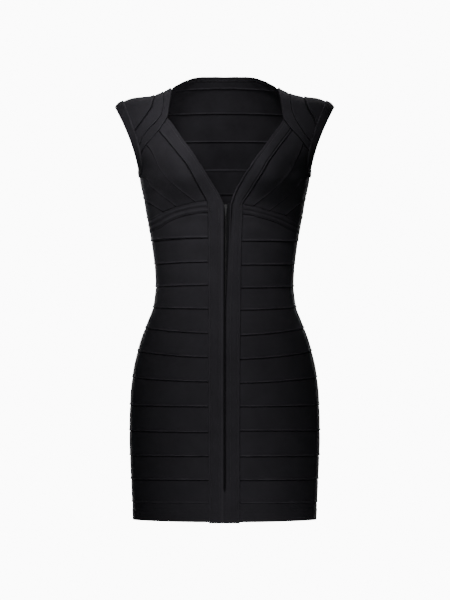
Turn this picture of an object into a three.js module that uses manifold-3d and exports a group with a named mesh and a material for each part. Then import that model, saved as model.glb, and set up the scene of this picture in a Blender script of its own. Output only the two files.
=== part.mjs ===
// A sleeveless mini dress sewn from wide knitted strips, in the hollow shape it takes when it is worn.
// Millimetres. +X is the left side of the wearer, the front faces -Y, +Z is up.
// The origin lies midway between the two shoulder lines, where the wearer's shoulders carry the dress.
import * as THREE from 'three';
import { mergeVertices } from 'three/addons/utils/BufferGeometryUtils.js';
import Module from 'manifold-3d';

// Cloth
const CLOTH = 1.7;
const SEAM_GAP = 0.3;
const LIP = 1.1;
const BAND_LIP = 0.5;
const ROUND = 2.2;

// Body below the arms: the side line's half width and the depth from it to the front and to the back
const SIDE_Y = 5;
const UNDERARM_Z = -141;
const RINGS = [
  { z: -141, half: 157.7, front: 102, back: 90 },
  { z: -163, half: 155.2, front: 101, back: 90 },
  { z: -192, half: 149.2, front: 98, back: 88 },
  { z: -222, half: 144.2, front: 95, back: 86 },
  { z: -251, half: 138.7, front: 92, back: 82 },
  { z: -281, half: 133.6, front: 90, back: 78 },
  { z: -310, half: 129.7, front: 88, back: 74 },
  { z: -340, half: 127.2, front: 87, back: 70 },
  { z: -369, half: 128.0, front: 87, back: 69 },
  { z: -398, half: 133.2, front: 90, back: 72 },
  { z: -428, half: 145.0, front: 94, back: 80 },
  { z: -457, half: 155.5, front: 98, back: 88 },
  { z: -487, half: 163.5, front: 101, back: 96 },
  { z: -516, half: 169.2, front: 102, back: 102 },
  { z: -560, half: 173.6, front: 103, back: 106 },
  { z: -634, half: 175.2, front: 102, back: 105 },
  { z: -707, half: 172.4, front: 100, back: 99 },
  { z: -786, half: 168.4, front: 98, back: 93 },
];
const BELOW_SPAN = 100;

// Chest and shoulders above the arms
const ARM_SLOPE = 11.4;
const ARM_FLARE = 31.9;
const ARM_DEPTH_FRONT = 50;
const ARM_DEPTH_BACK = 52;
const CHEST_SAG = 0.2;
const SHOULDER_TIP = 201;
const RIDGE = [
  { x: 0, z: 88 },
  { x: 25, z: 81 },
  { x: 50, z: 62 },
  { x: 75, z: 37 },
  { x: 86, z: 24 },
  { x: 93, z: 17 },
  { x: 99.5, z: 10.5 },
  { x: 106, z: 6.4 },
  { x: 114, z: 2.8 },
  { x: 123, z: -0.9 },
  { x: 137, z: -4.6 },
  { x: 167, z: -8.3 },
  { x: 180, z: -12 },
  { x: 194.5, z: -19.3 },
  { x: 201, z: -27 },
];
const CUP = { x: 82, z: -150, wide: 46, up: 78, down: 40, lift: 30 };

// Armhole: how far inside its edge the panels end, and the band sewn over them
const ARM_BAND = {
  wide: 0.075, drop: 0.14, ease: 1.3, overFrom: 0.97, cloth: 1.5, clear: 0.8, around: 44, across: 3,
};
const PANEL_END = { low: 0.03, top: 0.006 };
const SHOULDER_SEAM = -0.2;
const NECK_HALF = 99.5;

// Steps along the longer lines, and half the gap between the front's and the back's pieces at the side lines
const V_STEPS = 12;
const SHOULDER_STEPS = 17;
const CAP_STEPS = 4;
const CUP_STEPS = 8;
const SIDE_GAP = 0.0008;

// Front drawing. x is the distance from the centre line, z the height, one table for each side.
const LEFT = {
  neck: [{ x: 99.3, z: 9.8 }, { x: 98.8, z: -3.9 }, { x: 101.9, z: -24.8 }, { x: 104.9, z: -45.5 }],
  chest: [
    { x: 104.9, z: -45.5 }, { x: 112.4, z: -56.8 }, { x: 121.3, z: -69.6 }, { x: 134.7, z: -85.6 },
    { x: 143.7, z: -95.3 }, { x: 152.2, z: -108.4 },
  ],
  chestEnd: -128,
  stripB: [
    { x: 113, z: 3 }, { x: 112.6, z: -8 }, { x: 114.6, z: -33.7 }, { x: 125.1, z: -51.3 },
    { x: 135.8, z: -61.8 }, { x: 149.8, z: -79.5 }, { x: 155, z: -92 },
  ],
  stripBEnd: -106,
  stripC: [
    { x: 129, z: -2.5 }, { x: 130.1, z: -8 }, { x: 135.6, z: -26.7 }, { x: 149.8, z: -47.7 },
    { x: 160.4, z: -61.8 },
  ],
  stripCEnd: -80,
  vInner: [
    { x: 104.9, z: -45.5 }, { x: 77, z: -84.5 }, { x: 49.9, z: -122.4 }, { x: 38.1, z: -141.1 },
    { x: 24.1, z: -163.4 }, { x: 9.9, z: -186.9 }, { x: 0.7, z: -205.7 },
  ],
  vOuter: [
    { x: 121.3, z: -69.6 }, { x: 111.3, z: -81.3 }, { x: 98.4, z: -96.6 }, { x: 84.3, z: -114.1 },
    { x: 64, z: -142.2 }, { x: 52.3, z: -163.8 }, { x: 42.9, z: -180.7 }, { x: 36.9, z: -190.5 },
    { x: 32.5, z: -199.2 },
  ],
  cupSeamOne: [
    { x: 143.7, z: -95.3 }, { x: 137.5, z: -101.5 }, { x: 130.1, z: -114.1 }, { x: 124.2, z: -127.1 },
    { x: 117.9, z: -140 },
    { x: 103.8, z: -158.8 }, { x: 89.8, z: -171.7 }, { x: 74.5, z: -184.2 }, { x: 52, z: -201.3 },
  ],
  cupSeamTwoSide: -146,
  cupSeamTwo: [
    { x: 143.7, z: -157 }, { x: 135.6, z: -170.2 }, { x: 121.4, z: -183.4 }, { x: 103.8, z: -196.3 },
    { x: 87.4, z: -209.6 },
  ],
  cupSeamThreeSide: -193,
  cupSeamThree: [{ x: 136, z: -203 }, { x: 123.8, z: -210.2 }, { x: 111, z: -219 }],
  bustTop: [
    { x: 32.5, z: -199.2 }, { x: 52, z: -201.3 }, { x: 87.4, z: -209.6 }, { x: 111, z: -219 },
    { x: 114.4, z: -220.8 }, { x: 130, z: -230 },
  ],
  bustTopSide: -239,
  bustBottom: [
    { x: 30.3, z: -219.1 }, { x: 45.1, z: -220.4 }, { x: 59.2, z: -222.5 }, { x: 74.5, z: -225.6 },
    { x: 92.2, z: -231.2 }, { x: 108, z: -239 }, { x: 121.4, z: -247.8 },
  ],
  bustBottomSide: -258,
  bandInner: [{ x: 0.7, z: -205.7 }, { x: 0.7, z: -500 }, { x: 0.7, z: -788.5 }],
  bandOuter: [
    { x: 32.5, z: -199.2 }, { x: 30.3, z: -219.1 }, { x: 29.8, z: -266 }, { x: 29.8, z: -500 },
    { x: 28.6, z: -788.5 },
  ],
};
const RIGHT = {
  neck: [
    { x: 98.2, z: 9.2 }, { x: 99.2, z: 1 }, { x: 102.3, z: -13.2 }, { x: 105.2, z: -33.1 },
    { x: 108, z: -48.5 },
  ],
  chest: [
    { x: 108, z: -48.5 }, { x: 114.6, z: -57.2 }, { x: 124, z: -68.6 }, { x: 134.5, z: -79.7 },
    { x: 143.4, z: -90.4 }, { x: 150.6, z: -101.4 },
  ],
  chestEnd: -121,
  stripB: [
    { x: 119.5, z: -0.5 }, { x: 121.1, z: -14.4 }, { x: 123.5, z: -29.6 }, { x: 127.5, z: -42.5 },
    { x: 134.5, z: -55.6 }, { x: 141.4, z: -66.1 }, { x: 151, z: -80 },
  ],
  stripBEnd: -98,
  stripC: [
    { x: 146, z: -7 }, { x: 149, z: -17 }, { x: 154.6, z: -30.9 }, { x: 162, z: -42.5 },
    { x: 166.8, z: -54.3 },
  ],
  stripCEnd: -78,
  vInner: [
    { x: 108, z: -48.5 }, { x: 93.5, z: -69 }, { x: 70.1, z: -101.2 }, { x: 38.3, z: -145.9 },
    { x: 26.3, z: -166.5 }, { x: 18.4, z: -181.2 }, { x: 12.5, z: -197.4 }, { x: 9, z: -208.1 },
  ],
  vOuter: [
    { x: 124, z: -68.6 }, { x: 109.8, z: -87.4 }, { x: 93.5, z: -109.5 }, { x: 81.5, z: -126 },
    { x: 71.8, z: -143.5 }, { x: 57, z: -166.9 }, { x: 45.3, z: -185.7 }, { x: 38.3, z: -195 },
    { x: 32.4, z: -205.5 },
  ],
  cupSeamOne: [
    { x: 143.4, z: -90.4 }, { x: 141.5, z: -98.5 }, { x: 136.9, z: -110.6 }, { x: 128.6, z: -128.2 },
    { x: 122.7, z: -140 }, { x: 112.2, z: -155.3 }, { x: 97, z: -170.4 }, { x: 79.3, z: -186.4 },
    { x: 51, z: -208.6 },
  ],
  cupSeamTwoSide: -146,
  cupSeamTwo: [
    { x: 143.7, z: -157 }, { x: 135, z: -170.2 }, { x: 125.1, z: -181.1 }, { x: 105.2, z: -198.2 },
    { x: 80.5, z: -217 },
  ],
  cupSeamThreeSide: -195,
  cupSeamThree: [{ x: 136, z: -205 }, { x: 123.8, z: -214 }, { x: 110, z: -226.2 }],
  bustTop: [
    { x: 32.4, z: -205.5 }, { x: 51, z: -208.6 }, { x: 80.5, z: -217 }, { x: 110, z: -226.2 },
    { x: 113.4, z: -227.4 }, { x: 130, z: -236 },
  ],
  bustTopSide: -245,
  bustBottom: [
    { x: 32.9, z: -222.1 }, { x: 50, z: -224.5 }, { x: 61.8, z: -228 }, { x: 75.8, z: -231.5 },
    { x: 94.6, z: -237.3 }, { x: 108, z: -243.6 }, { x: 121.4, z: -251 },
  ],
  bustBottomSide: -260,
  bandInner: [
    { x: 9, z: -208.1 }, { x: 7.6, z: -235 }, { x: 6.2, z: -270 }, { x: 3.6, z: -330 }, { x: 1.4, z: -390 },
    { x: 0.9, z: -500 }, { x: 0.9, z: -788.5 },
  ],
  bandOuter: [
    { x: 32.4, z: -205.5 }, { x: 32.9, z: -222.1 }, { x: 30.7, z: -272 }, { x: 28.9, z: -400 },
    { x: 27.8, z: -500 }, { x: 27.8, z: -788.5 },
  ],
};

// Seams of the body bands: height at the left front band, at both side lines, and at the right front band
const BODY_SEAMS = [
  { left: -266, side: -273, right: -272 },
  { left: -310, side: -315, right: -316 },
  { left: -352.5, side: -356, right: -358 },
  { left: -396.5, side: -394, right: -398.5 },
  { left: -441, side: -431.5, right: -445 },
  { left: -485, side: -474, right: -488.5 },
  { left: -529.5, side: -522, right: -532 },
  { left: -575, side: -573, right: -575 },
  { left: -622, side: -620, right: -619 },
  { left: -665.7, side: -665.7, right: -666.3 },
  { left: -709.3, side: -709.3, right: -709.5 },
  { left: -751.3, side: -751.5, right: -752 },
  { left: -786.6, side: -784, right: -786.6 },
];
const AROUND = 40;
const BAND_TURN_Z = -214;

// Back: the neck edge, the lower edge of the neck band and the seams between the arms
const BACK_NECK = [
  { x: 0, z: 32 }, { x: 25, z: 32.2 }, { x: 45, z: 31.8 }, { x: 62, z: 28.5 },
  { x: 71, z: 25 }, { x: 80, z: 21 }, { x: 86, z: 17.5 }, { x: 93, z: 13.4 },
];
const BACK_NECK_LOWER = [
  { x: 0, z: 10 }, { x: 30, z: 9.7 }, { x: 60, z: 8.4 }, { x: 82, z: 6 }, { x: 98, z: 3 },
];
const BACK_SEAMS = [-36, -88, -141, -186, -230];
const BACK_SEAM_ARCH = 8;
const BACK_ARM_GAP = 0.05;
const BACK_END_X = 170;
const BACK_END_CROWD = 0.98;
const BACK_HALF_STEPS = 9;

// Front zip
const ZIP = {
  x: 2, top: -204, bottom: -731, tapeWide: 14, tape: 0.8, chainWide: 2.2, chain: 1.4,
  behind: 2.2, sliderTop: -205, sliderLow: -214.5,
};
const SLIDER = { wide: 4.8, long: 9, deep: 2.4, proud: 0.6 };
const CROWN = { wide: 1.6, long: 4.4, high: 2.6, wall: 0.8 };
const TAB = { thick: 1, wide: 3.4, tip: 2.6, long: 15.5, eye: 2.2, eyeLong: 2.75, bar: 0.5, shoulder: 1 };

const KNIT = new THREE.MeshStandardMaterial({ color: 0x1b1c20, roughness: 0.85, metalness: 0 });
const TAPE = new THREE.MeshStandardMaterial({ color: 0x101114, roughness: 0.8, metalness: 0 });
const METAL = new THREE.MeshStandardMaterial({ color: 0x1c1c1e, roughness: 0.45, metalness: 0.2 });

const dress = new THREE.Group();

// Smooth value of one column of a table, between the rows next to a place
function lookUp(table, key, column, place) {
  const rising = table[1][key] > table[0][key];
  const rows = rising ? table : [...table].reverse();
  const last = rows.length - 1;
  const at = THREE.MathUtils.clamp(place, rows[0][key], rows[last][key]);
  let i = 0;
  while (i < last - 1 && rows[i + 1][key] < at) i += 1;
  const slope = (j) => {
    const a = rows[Math.max(j - 1, 0)];
    const b = rows[Math.min(j + 1, last)];
    return (b[column] - a[column]) / (b[key] - a[key]);
  };
  const span = rows[i + 1][key] - rows[i][key];
  const t = (at - rows[i][key]) / span;
  const bend = t * t * (3 - 2 * t);
  const base = rows[i][column] * (1 - bend) + rows[i + 1][column] * bend;
  const pull = slope(i) * t * (1 - t) * (1 - t) - slope(i + 1) * t * t * (1 - t);
  return base + span * pull;
}

// The round that every ring follows: the other side's share for one side's share of the half width
function round(share) {
  return Math.max(0, 1 - Math.abs(share) ** ROUND) ** (1 / ROUND);
}

const armX = (s) => RINGS[0].half + ARM_SLOPE * s + ARM_FLARE * s ** 1.5;
const sag = (front, s) => (front ? 1 - CHEST_SAG * 4 * s * s * (1 - s * s) : 1);
const depthAt = (front, h) => {
  const column = front ? 'front' : 'back';
  if (h <= 0) return lookUp(RINGS, 'z', column, UNDERARM_Z + h * BELOW_SPAN);
  return RINGS[0][column] * Math.sqrt(1 - h * h) * sag(front, h);
};

// Depth of the armhole edge as a share of the sheet's own depth, at share s of the way up to the shoulder
function armShare(front, s) {
  const depth = front ? ARM_DEPTH_FRONT : ARM_DEPTH_BACK;
  const column = front ? 'front' : 'back';
  return (2 * depth / RINGS[0][column]) * Math.sqrt(Math.max(s, 0) / (1 + Math.max(s, 0))) / sag(front, s);
}
const armRound = (front, s) => round(armShare(front, s));
const ridgeZ = (u) => lookUp(RIDGE, 'x', 'z', Math.min(Math.abs(u), 1) * SHOULDER_TIP);

function cupLift(x, z, share, s) {
  const across = (Math.abs(x) - CUP.x) / CUP.wide;
  const up = (z - CUP.z) / (z > CUP.z ? CUP.up : CUP.down);
  const fade = Math.min(1, 2 * share) * (1 - Math.max(s, 0) ** 6);
  return CUP.lift * Math.exp(-across * across - up * up) * fade;
}

// A point of the cloth's outer face. u is the signed share of the half width, turn the share of the way up
// to the shoulder as an angle: positive at the front, negative at the back, zero on the shoulder line.
function overPoint(u, turn) {
  const front = turn >= 0;
  const s = Math.cos(turn);
  const column = front ? 'front' : 'back';
  const share = round(armRound(front, s) * u);
  const depth = RINGS[0][column] * Math.sin(turn) * sag(front, s);
  const x = armX(s) * u;
  const z = UNDERARM_Z + s * (ridgeZ(u) - UNDERARM_Z);
  const lift = front ? cupLift(x, z, share, s) : 0;
  return new THREE.Vector3(x, SIDE_Y - depth * share - lift, z);
}

// A point of the cloth's outer face. angle runs from the front centre (0) by the left side of the wearer (+90
// degrees) to the back; h is the share of the way up to the shoulder, or below the arm a share of 100 mm.
function skinPoint(angle, h) {
  const front = Math.cos(angle) >= 0;
  const share = Math.abs(Math.cos(angle)) ** (2 / ROUND);
  const across = Math.sign(Math.sin(angle)) * Math.abs(Math.sin(angle)) ** (2 / ROUND);
  const u = h > 0 ? across / armRound(front, h) : across;
  const z = h > 0 ? UNDERARM_Z + h * (ridgeZ(u) - UNDERARM_Z) : UNDERARM_Z + h * BELOW_SPAN;
  const x = h > 0 ? armX(h) * u : lookUp(RINGS, 'z', 'half', z) * u;
  const depth = depthAt(front, h) * share;
  return new THREE.Vector3(x, front ? SIDE_Y - depth - cupLift(x, z, share, h) : SIDE_Y + depth, z);
}

// Share of the half width and share of the way up, for a place in the front or back elevation
function placeOf(x, z) {
  if (z <= UNDERARM_Z) {
    const half = lookUp(RINGS, 'z', 'half', z);
    return { u: THREE.MathUtils.clamp(x / half, -1, 1), h: (z - UNDERARM_Z) / BELOW_SPAN };
  }
  let u = x / SHOULDER_TIP;
  let h = 0;
  for (let i = 0; i < 12; i += 1) {
    h = THREE.MathUtils.clamp((z - UNDERARM_Z) / (ridgeZ(u) - UNDERARM_Z), 0, 1);
    u = x / armX(h);
  }
  return { u, h };
}

function skinPlace(front, x, z) {
  const { u, h } = placeOf(x, z);
  const across = THREE.MathUtils.clamp(Math.abs(u) * armRound(front, h), 0, 1);
  const fromCentre = Math.asin(across ** (ROUND / 2)) * Math.sign(x || 1);
  return [front ? fromCentre : Math.PI - fromCentre, h];
}

function overPlace(front, x, z) {
  const { u, h } = placeOf(x, z);
  return [u, (front ? 1 : -1) * Math.acos(h)];
}

// The same front place in the chart that runs over the shoulder
function overFromSkin(angle, h) {
  const across = Math.sign(angle) * Math.abs(Math.sin(angle)) ** (2 / ROUND);
  return [across / armRound(true, h), Math.acos(h)];
}

// The line just inside the armhole's edge where the panels end, under the armhole's band
function edgeShare(front, s) {
  return armShare(front, s) + PANEL_END.low * (1 - s) + PANEL_END.top * s;
}
const edgeU = (front, s) => round(edgeShare(front, s)) / armRound(front, s);

function edgePlace(front, side, z, over) {
  let s = (z - UNDERARM_Z) / -UNDERARM_Z;
  for (let i = 0; i < 20; i += 1) {
    s = THREE.MathUtils.clamp((z - UNDERARM_Z) / (ridgeZ(edgeU(front, s)) - UNDERARM_Z), 0, 1);
  }
  if (over) return [side * edgeU(front, s), (front ? 1 : -1) * Math.acos(s)];
  const fromCentre = Math.acos(edgeShare(front, s) ** (ROUND / 2));
  return [front ? side * fromCentre : Math.PI - side * fromCentre, s];
}

// Outward direction at a place of a chart of the skin
function outward(chart, a, b) {
  const step = 0.002;
  const p = chart(a, b);
  const alongA = chart(a + step, b).sub(chart(a - step, b));
  const alongB = chart(a, b + step).sub(chart(a, b - step));
  const normal = alongA.cross(alongB).normalize();
  const inside = new THREE.Vector3(0.8 * p.x, SIDE_Y, p.z - 50);
  return normal.dot(p.sub(inside)) < 0 ? normal.negate() : normal;
}

// Evenly spaced places on a smooth line through chart places
function line(places, steps) {
  const curve = new THREE.SplineCurve(places.map(([a, b]) => new THREE.Vector2(a, b)));
  return Array.from({ length: steps + 1 }, (_, i) => {
    const p = i === steps ? curve.getPoint(1) : curve.getPointAt(i / steps);
    return [p.x, p.y];
  });
}

function between(a, b, steps) {
  return Array.from({ length: steps + 1 }, (_, i) => {
    const t = i / steps;
    return [a[0] * (1 - t) + b[0] * t, a[1] * (1 - t) + b[1] * t];
  });
}

// Places inside four edge lines: first and second run along the piece, start and end across it
function fill(first, second, start, end) {
  const nu = first.length - 1;
  const nv = start.length - 1;
  const mix = (i, j, c) => {
    const s = i / nu;
    const t = j / nv;
    const ruled = first[i][c] * (1 - t) + second[i][c] * t + start[j][c] * (1 - s) + end[j][c] * s;
    const top = first[0][c] * (1 - s) + first[nu][c] * s;
    const foot = second[0][c] * (1 - s) + second[nu][c] * s;
    return ruled - top * (1 - t) - foot * t;
  };
  return first.map((_, i) => start.map((__, j) => [mix(i, j, 0), mix(i, j, 1)]));
}

// Draws the outer rows and columns back by half a seam gap
function drawBack(chart, grid) {
  const nu = grid.length - 1;
  const nv = grid[0].length - 1;
  const toward = (from, to) => {
    const share = Math.min(0.3, SEAM_GAP / 2 / chart(...from).distanceTo(chart(...to)));
    return [from[0] + (to[0] - from[0]) * share, from[1] + (to[1] - from[1]) * share];
  };
  const trimmed = grid.map((row) => {
    const copy = row.map((p) => [...p]);
    copy[0] = toward(row[0], row[1]);
    copy[nv] = toward(row[nv], row[nv - 1]);
    return copy;
  });
  const first = trimmed[0].map((p, j) => toward(p, trimmed[1][j]));
  const last = trimmed[nu].map((p, j) => toward(p, trimmed[nu - 1][j]));
  return [first, ...trimmed.slice(1, nu), last];
}

const flat = () => 0;

// A closed wall over a grid of chart places. rise gives how far the outer face stands off the skin.
function wall(name, chart, places, options = {}) {
  const { rise = flat, cloth = CLOTH, under = 0, loop = false, material = KNIT } = options;
  const nu = places.length - (loop ? 0 : 1);
  const nv = places[0].length - 1;
  const points = [];
  const rows = places.length;
  for (const layer of [0, 1]) {
    places.forEach((row, i) => row.forEach(([a, b], j) => {
      const lift = layer === 0 ? under + rise(j / nv, i / nu) : under - cloth;
      points.push(chart(a, b).addScaledVector(outward(chart, a, b), lift));
    }));
  }
  const id = (layer, i, j) => layer * rows * (nv + 1) + (i % rows) * (nv + 1) + j;
  const faces = [];
  const quad = (a, b, c, d) => faces.push(a, b, c, a, c, d);
  for (let i = 0; i < nu; i += 1) {
    for (let j = 0; j < nv; j += 1) {
      quad(id(0, i, j), id(0, i + 1, j), id(0, i + 1, j + 1), id(0, i, j + 1));
      quad(id(1, i, j), id(1, i, j + 1), id(1, i + 1, j + 1), id(1, i + 1, j));
    }
    quad(id(0, i, 0), id(1, i, 0), id(1, i + 1, 0), id(0, i + 1, 0));
    quad(id(0, i, nv), id(0, i + 1, nv), id(1, i + 1, nv), id(1, i, nv));
  }
  if (!loop) {
    for (let j = 0; j < nv; j += 1) {
      quad(id(0, 0, j), id(0, 0, j + 1), id(1, 0, j + 1), id(1, 0, j));
      quad(id(0, nu, j), id(1, nu, j), id(1, nu, j + 1), id(0, nu, j + 1));
    }
  }
  addMesh(name, points, faces, material);
}

function addMesh(name, points, faces, material) {
  let volume = 0;
  for (let k = 0; k < faces.length; k += 3) {
    const [a, b, c] = [0, 1, 2].map((m) => points[faces[k + m]]);
    volume += a.dot(b.clone().cross(c));
  }
  const geometry = new THREE.BufferGeometry();
  geometry.setFromPoints(points);
  geometry.setIndex(volume < 0 ? [...faces].reverse() : faces);
  geometry.computeVertexNormals();
  const mesh = new THREE.Mesh(geometry, material);
  mesh.name = name;
  dress.add(mesh);
}

// Height of a strip's outer face across it: the edge at 1 stands proud over the next strip
const proud = (v) => LIP * v ** 4;
const proudStart = (v) => LIP * (1 - v) ** 4;
const bothRibs = (v) => LIP * (v > 0.9 || v < 0.1 ? 0.3 : Math.sin(2 * Math.PI * v) ** 2);
const tapered = (shape, rate = 8) => (v, t) => shape(v) * Math.min(1, rate * t, rate * (1 - t));

// The same wall for a piece between four lines, with its seam gaps
function piece(name, chart, [first, second, start, end], options) {
  wall(name, chart, drawBack(chart, fill(first, second, start, end)), options);
}

// One side of the bodice's front and shoulder. side is -1 at the photograph's left and 1 at its right.
function bodiceSide(word, side, plan) {
  const front = (list) => list.map(({ x, z }) => skinPlace(true, side * x, z));
  const over = (list) => list.map(({ x, z }) => overPlace(true, side * x, z));
  const sideLine = (z) => [side * (Math.PI / 2 - SIDE_GAP), (z - UNDERARM_Z) / BELOW_SPAN];

  // The seam where the chest pieces end under the neck strip, cut at the corners of those pieces
  const corner = { vInner: 0, vOuter: 2, seam: 4 };
  const chestLine = new THREE.SplineCurve([...front(plan.chest), edgePlace(true, side, plan.chestEnd, false)]
    .map(([a, b]) => new THREE.Vector2(a, b)));
  const topEnd = plan.chest.length;
  const chest = (from, to, steps) => Array.from({ length: steps + 1 }, (_, i) => {
    const p = chestLine.getPoint((from + ((to - from) * i) / steps) / topEnd);
    return [p.x, p.y];
  });

  // Front band: down the neck's V, then beside the zip to the hem
  const vInner = line(front(plan.vInner), V_STEPS);
  const vOuter = line(front(plan.vOuter), V_STEPS);
  const bandEnd = plan.bandOuter[plan.bandOuter.length - 1].z;
  const seamHeights = [plan.bustBottom[0].z, ...BODY_SEAMS.slice(0, -1).map((seam) => seam[word]), bandEnd];
  const levels = [
    { inner: plan.bandInner[0].z, outer: plan.bustTop[0].z },
    { inner: BAND_TURN_Z, outer: (plan.bustTop[0].z + plan.bustBottom[0].z) / 2 },
    ...seamHeights.map((z) => ({ inner: z, outer: z })),
  ];
  const bandInner = front(levels.map(({ inner: z }) => ({ x: lookUp(plan.bandInner, 'z', 'x', z), z })));
  const bandOuter = front(levels.map(({ outer: z }) => ({ x: lookUp(plan.bandOuter, 'z', 'x', z), z })));
  const acrossV = chest(corner.vInner, corner.vOuter, 3);
  const inner = [...vInner, ...bandInner.slice(1)];
  const outer = [...vOuter, ...bandOuter.slice(1)];
  const hem = between(inner[inner.length - 1], outer[outer.length - 1], 3);
  piece(`front_band_${word}`, skinPoint, [inner, outer, acrossV, hem], {
    rise: (v, t) => BAND_LIP * (v < 0.4 ? 1 : 0.4) * Math.min(1, 12 * t),
  });

  // Cup strips
  const seamOne = line(front(plan.cupSeamOne), V_STEPS);
  const armFoot = edgePlace(true, side, UNDERARM_Z + 0.5, false);
  const armLine = [plan.chestEnd, -133, -137.5].map((z) => edgePlace(true, side, z, false));
  const seamTwo = line([sideLine(plan.cupSeamTwoSide), ...front(plan.cupSeamTwo)], CUP_STEPS);
  const seamThree = line([sideLine(plan.cupSeamThreeSide), ...front(plan.cupSeamThree)], CUP_STEPS);
  const bust = front(plan.bustTop);
  const bustPieces = [
    line(bust.slice(0, 2), 3),
    line(bust.slice(1, 3), 3),
    line(bust.slice(2, 4), 3),
    between(bust[3], bust[4], 1),
    line([bust[4], bust[5], sideLine(plan.bustTopSide)], CUP_STEPS),
  ];
  const cup = (number, first, second, start, end, rise) => {
    piece(`cup_strip_${number}_${word}`, skinPoint, [first, second, start, end], { rise });
  };
  cup(1, vOuter, seamOne, chest(corner.vOuter, corner.seam, 3), bustPieces[0], tapered(proud));
  const outside = [...armLine, armFoot, ...seamTwo];
  const armEnd = (armLine.length + 1.5) / (outside.length - 1);
  const belowArm = (v, t) => proud(v) * THREE.MathUtils.clamp(6 * (t - armEnd), 0, 1);
  cup(2, seamOne, outside, chest(corner.seam, topEnd, 3), bustPieces[1], belowArm);
  cup(3, seamTwo, seamThree, between(seamTwo[0], seamThree[0], 3), bustPieces[2], tapered(proud));
  const underCup = [...bustPieces[4]].reverse();
  cup(4, seamThree, underCup, between(seamThree[0], underCup[0], 1), bustPieces[3], flat);

  // Underbust band with its two ribs, and the short band below it
  const bustTop = [bust[0], ...bustPieces.flatMap((part) => part.slice(1))];
  const steps = bustTop.length - 1;
  const bustBottom = line([...front(plan.bustBottom), sideLine(plan.bustBottomSide)], steps);
  const seams = BODY_SEAMS[0];
  const firstSeam = Array.from({ length: steps + 1 }, (_, i) => {
    const t = i / steps;
    const start = skinPlace(true, side * lookUp(plan.bandOuter, 'z', 'x', seams[word]), seams[word]);
    const end = sideLine(seams.side);
    return [start[0] * (1 - t) + end[0] * t, start[1] * (1 - t * t) + end[1] * t * t];
  });
  const acrossBust = (i) => between(bustTop[i], bustBottom[i], 4);
  piece(`underbust_band_${word}`, skinPoint, [bustTop, bustBottom, acrossBust(0), acrossBust(steps)], {
    rise: bothRibs,
  });
  const ends = [0, steps].map((i) => between(bustBottom[i], firstSeam[i], 2));
  piece(`rib_band_${word}`, skinPoint, [bustBottom, firstSeam, ...ends], { rise: proud });

  // Shoulder: the neck strip, the second strip and the cap, all from the shoulder seam to the armhole
  const seamPlace = (x) => [side * x / armX(Math.cos(SHOULDER_SEAM)), SHOULDER_SEAM];
  const chestCorners = [corner.vInner, corner.vOuter, corner.seam, topEnd];
  const chestOver = [0, 1, 2]
    .flatMap((i) => chest(chestCorners[i], chestCorners[i + 1], 3).slice(1))
    .map(([angle, h]) => overFromSkin(angle, h));
  const neckEdge = line([seamPlace(NECK_HALF), ...over(plan.neck)], SHOULDER_STEPS - chestOver.length);
  const neckInner = [...neckEdge, ...chestOver];
  const stripLine = (list, end) => (
    line([seamPlace(list[0].x), ...over(list), edgePlace(true, side, end, true)], SHOULDER_STEPS));
  const stripB = stripLine(plan.stripB, plan.stripBEnd);
  const stripC = stripLine(plan.stripC, plan.stripCEnd);
  const armPart = (fromZ, toZ, n) => Array.from({ length: n + 1 }, (_, i) => (
    edgePlace(true, side, fromZ + ((toZ - fromZ) * i) / n, true)));
  const start = (a, b, n = 2) => between(a[0], b[0], n);
  const neckLines = [neckInner, stripB, start(neckInner, stripB), armPart(plan.chestEnd, plan.stripBEnd, 2)];
  piece(`neck_strip_${word}`, overPoint, neckLines, { rise: tapered((v) => LIP * (1 - v) ** 2, 5) });
  const stripLines = [stripB, stripC, start(stripB, stripC), armPart(plan.stripBEnd, plan.stripCEnd, 2)];
  piece(`shoulder_strip_${word}`, overPoint, stripLines, { rise: tapered(proudStart, 4) });
  const capEnd = edgePlace(true, side, plan.stripCEnd + 4, true)[1];
  const capEdge = between([0, SHOULDER_SEAM], [0, capEnd], SHOULDER_STEPS)
    .map(([, turn]) => [side * edgeU(turn >= 0, Math.cos(turn)), turn]);
  const capFoot = between(stripC[SHOULDER_STEPS], capEdge[SHOULDER_STEPS], CAP_STEPS);
  const capLines = [stripC, capEdge, start(stripC, capEdge, CAP_STEPS), capFoot];
  piece(`cap_${word}`, overPoint, capLines, { rise: tapered(proudStart, 4) });
}

// Band sewn over the armhole's edge, a closed ring. Its places go by the depth's share, so they keep an even
// width under the arm as well.
function armholeBand(word, side) {
  const chart = (turn, w) => {
    const front = turn >= 0;
    const t = Math.abs(turn);
    const s = (1 - Math.cos(t)) / 2;
    const inward = t < Math.PI / 2 ? Math.sin(t) ** ARM_BAND.ease : 1;
    const drop = ARM_BAND.drop * ((1 + Math.cos(t)) / 2) ** ARM_BAND.ease;
    const inner = { h: s - drop, u: 1 - ARM_BAND.wide * inward };
    const outerShare = armShare(front, s);
    const innerShare = round(armRound(front, Math.max(inner.h, 0)) * inner.u);
    const h = s + (inner.h - s) * w;
    const share = Math.max(outerShare + (innerShare - outerShare) * w, 1e-6);
    const fromCentre = Math.acos(Math.min(share, 1) ** (ROUND / 2));
    if (h <= ARM_BAND.overFrom) return skinPoint(front ? side * fromCentre : Math.PI - side * fromCentre, h);
    const across = round(share) / armRound(front, h);
    return overPoint(side * across, (front ? 1 : -1) * Math.acos(Math.min(h, 1)));
  };
  const places = Array.from({ length: ARM_BAND.around }, (_, i) => (
    Array.from({ length: ARM_BAND.across + 1 }, (__, j) => [
      -Math.PI + ((i + 0.5) * 2 * Math.PI) / ARM_BAND.around, j / ARM_BAND.across])));
  const under = ARM_BAND.cloth + ARM_BAND.clear;
  wall(`armhole_band_${word}`, chart, places, { under, cloth: ARM_BAND.cloth, loop: true });
}

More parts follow.
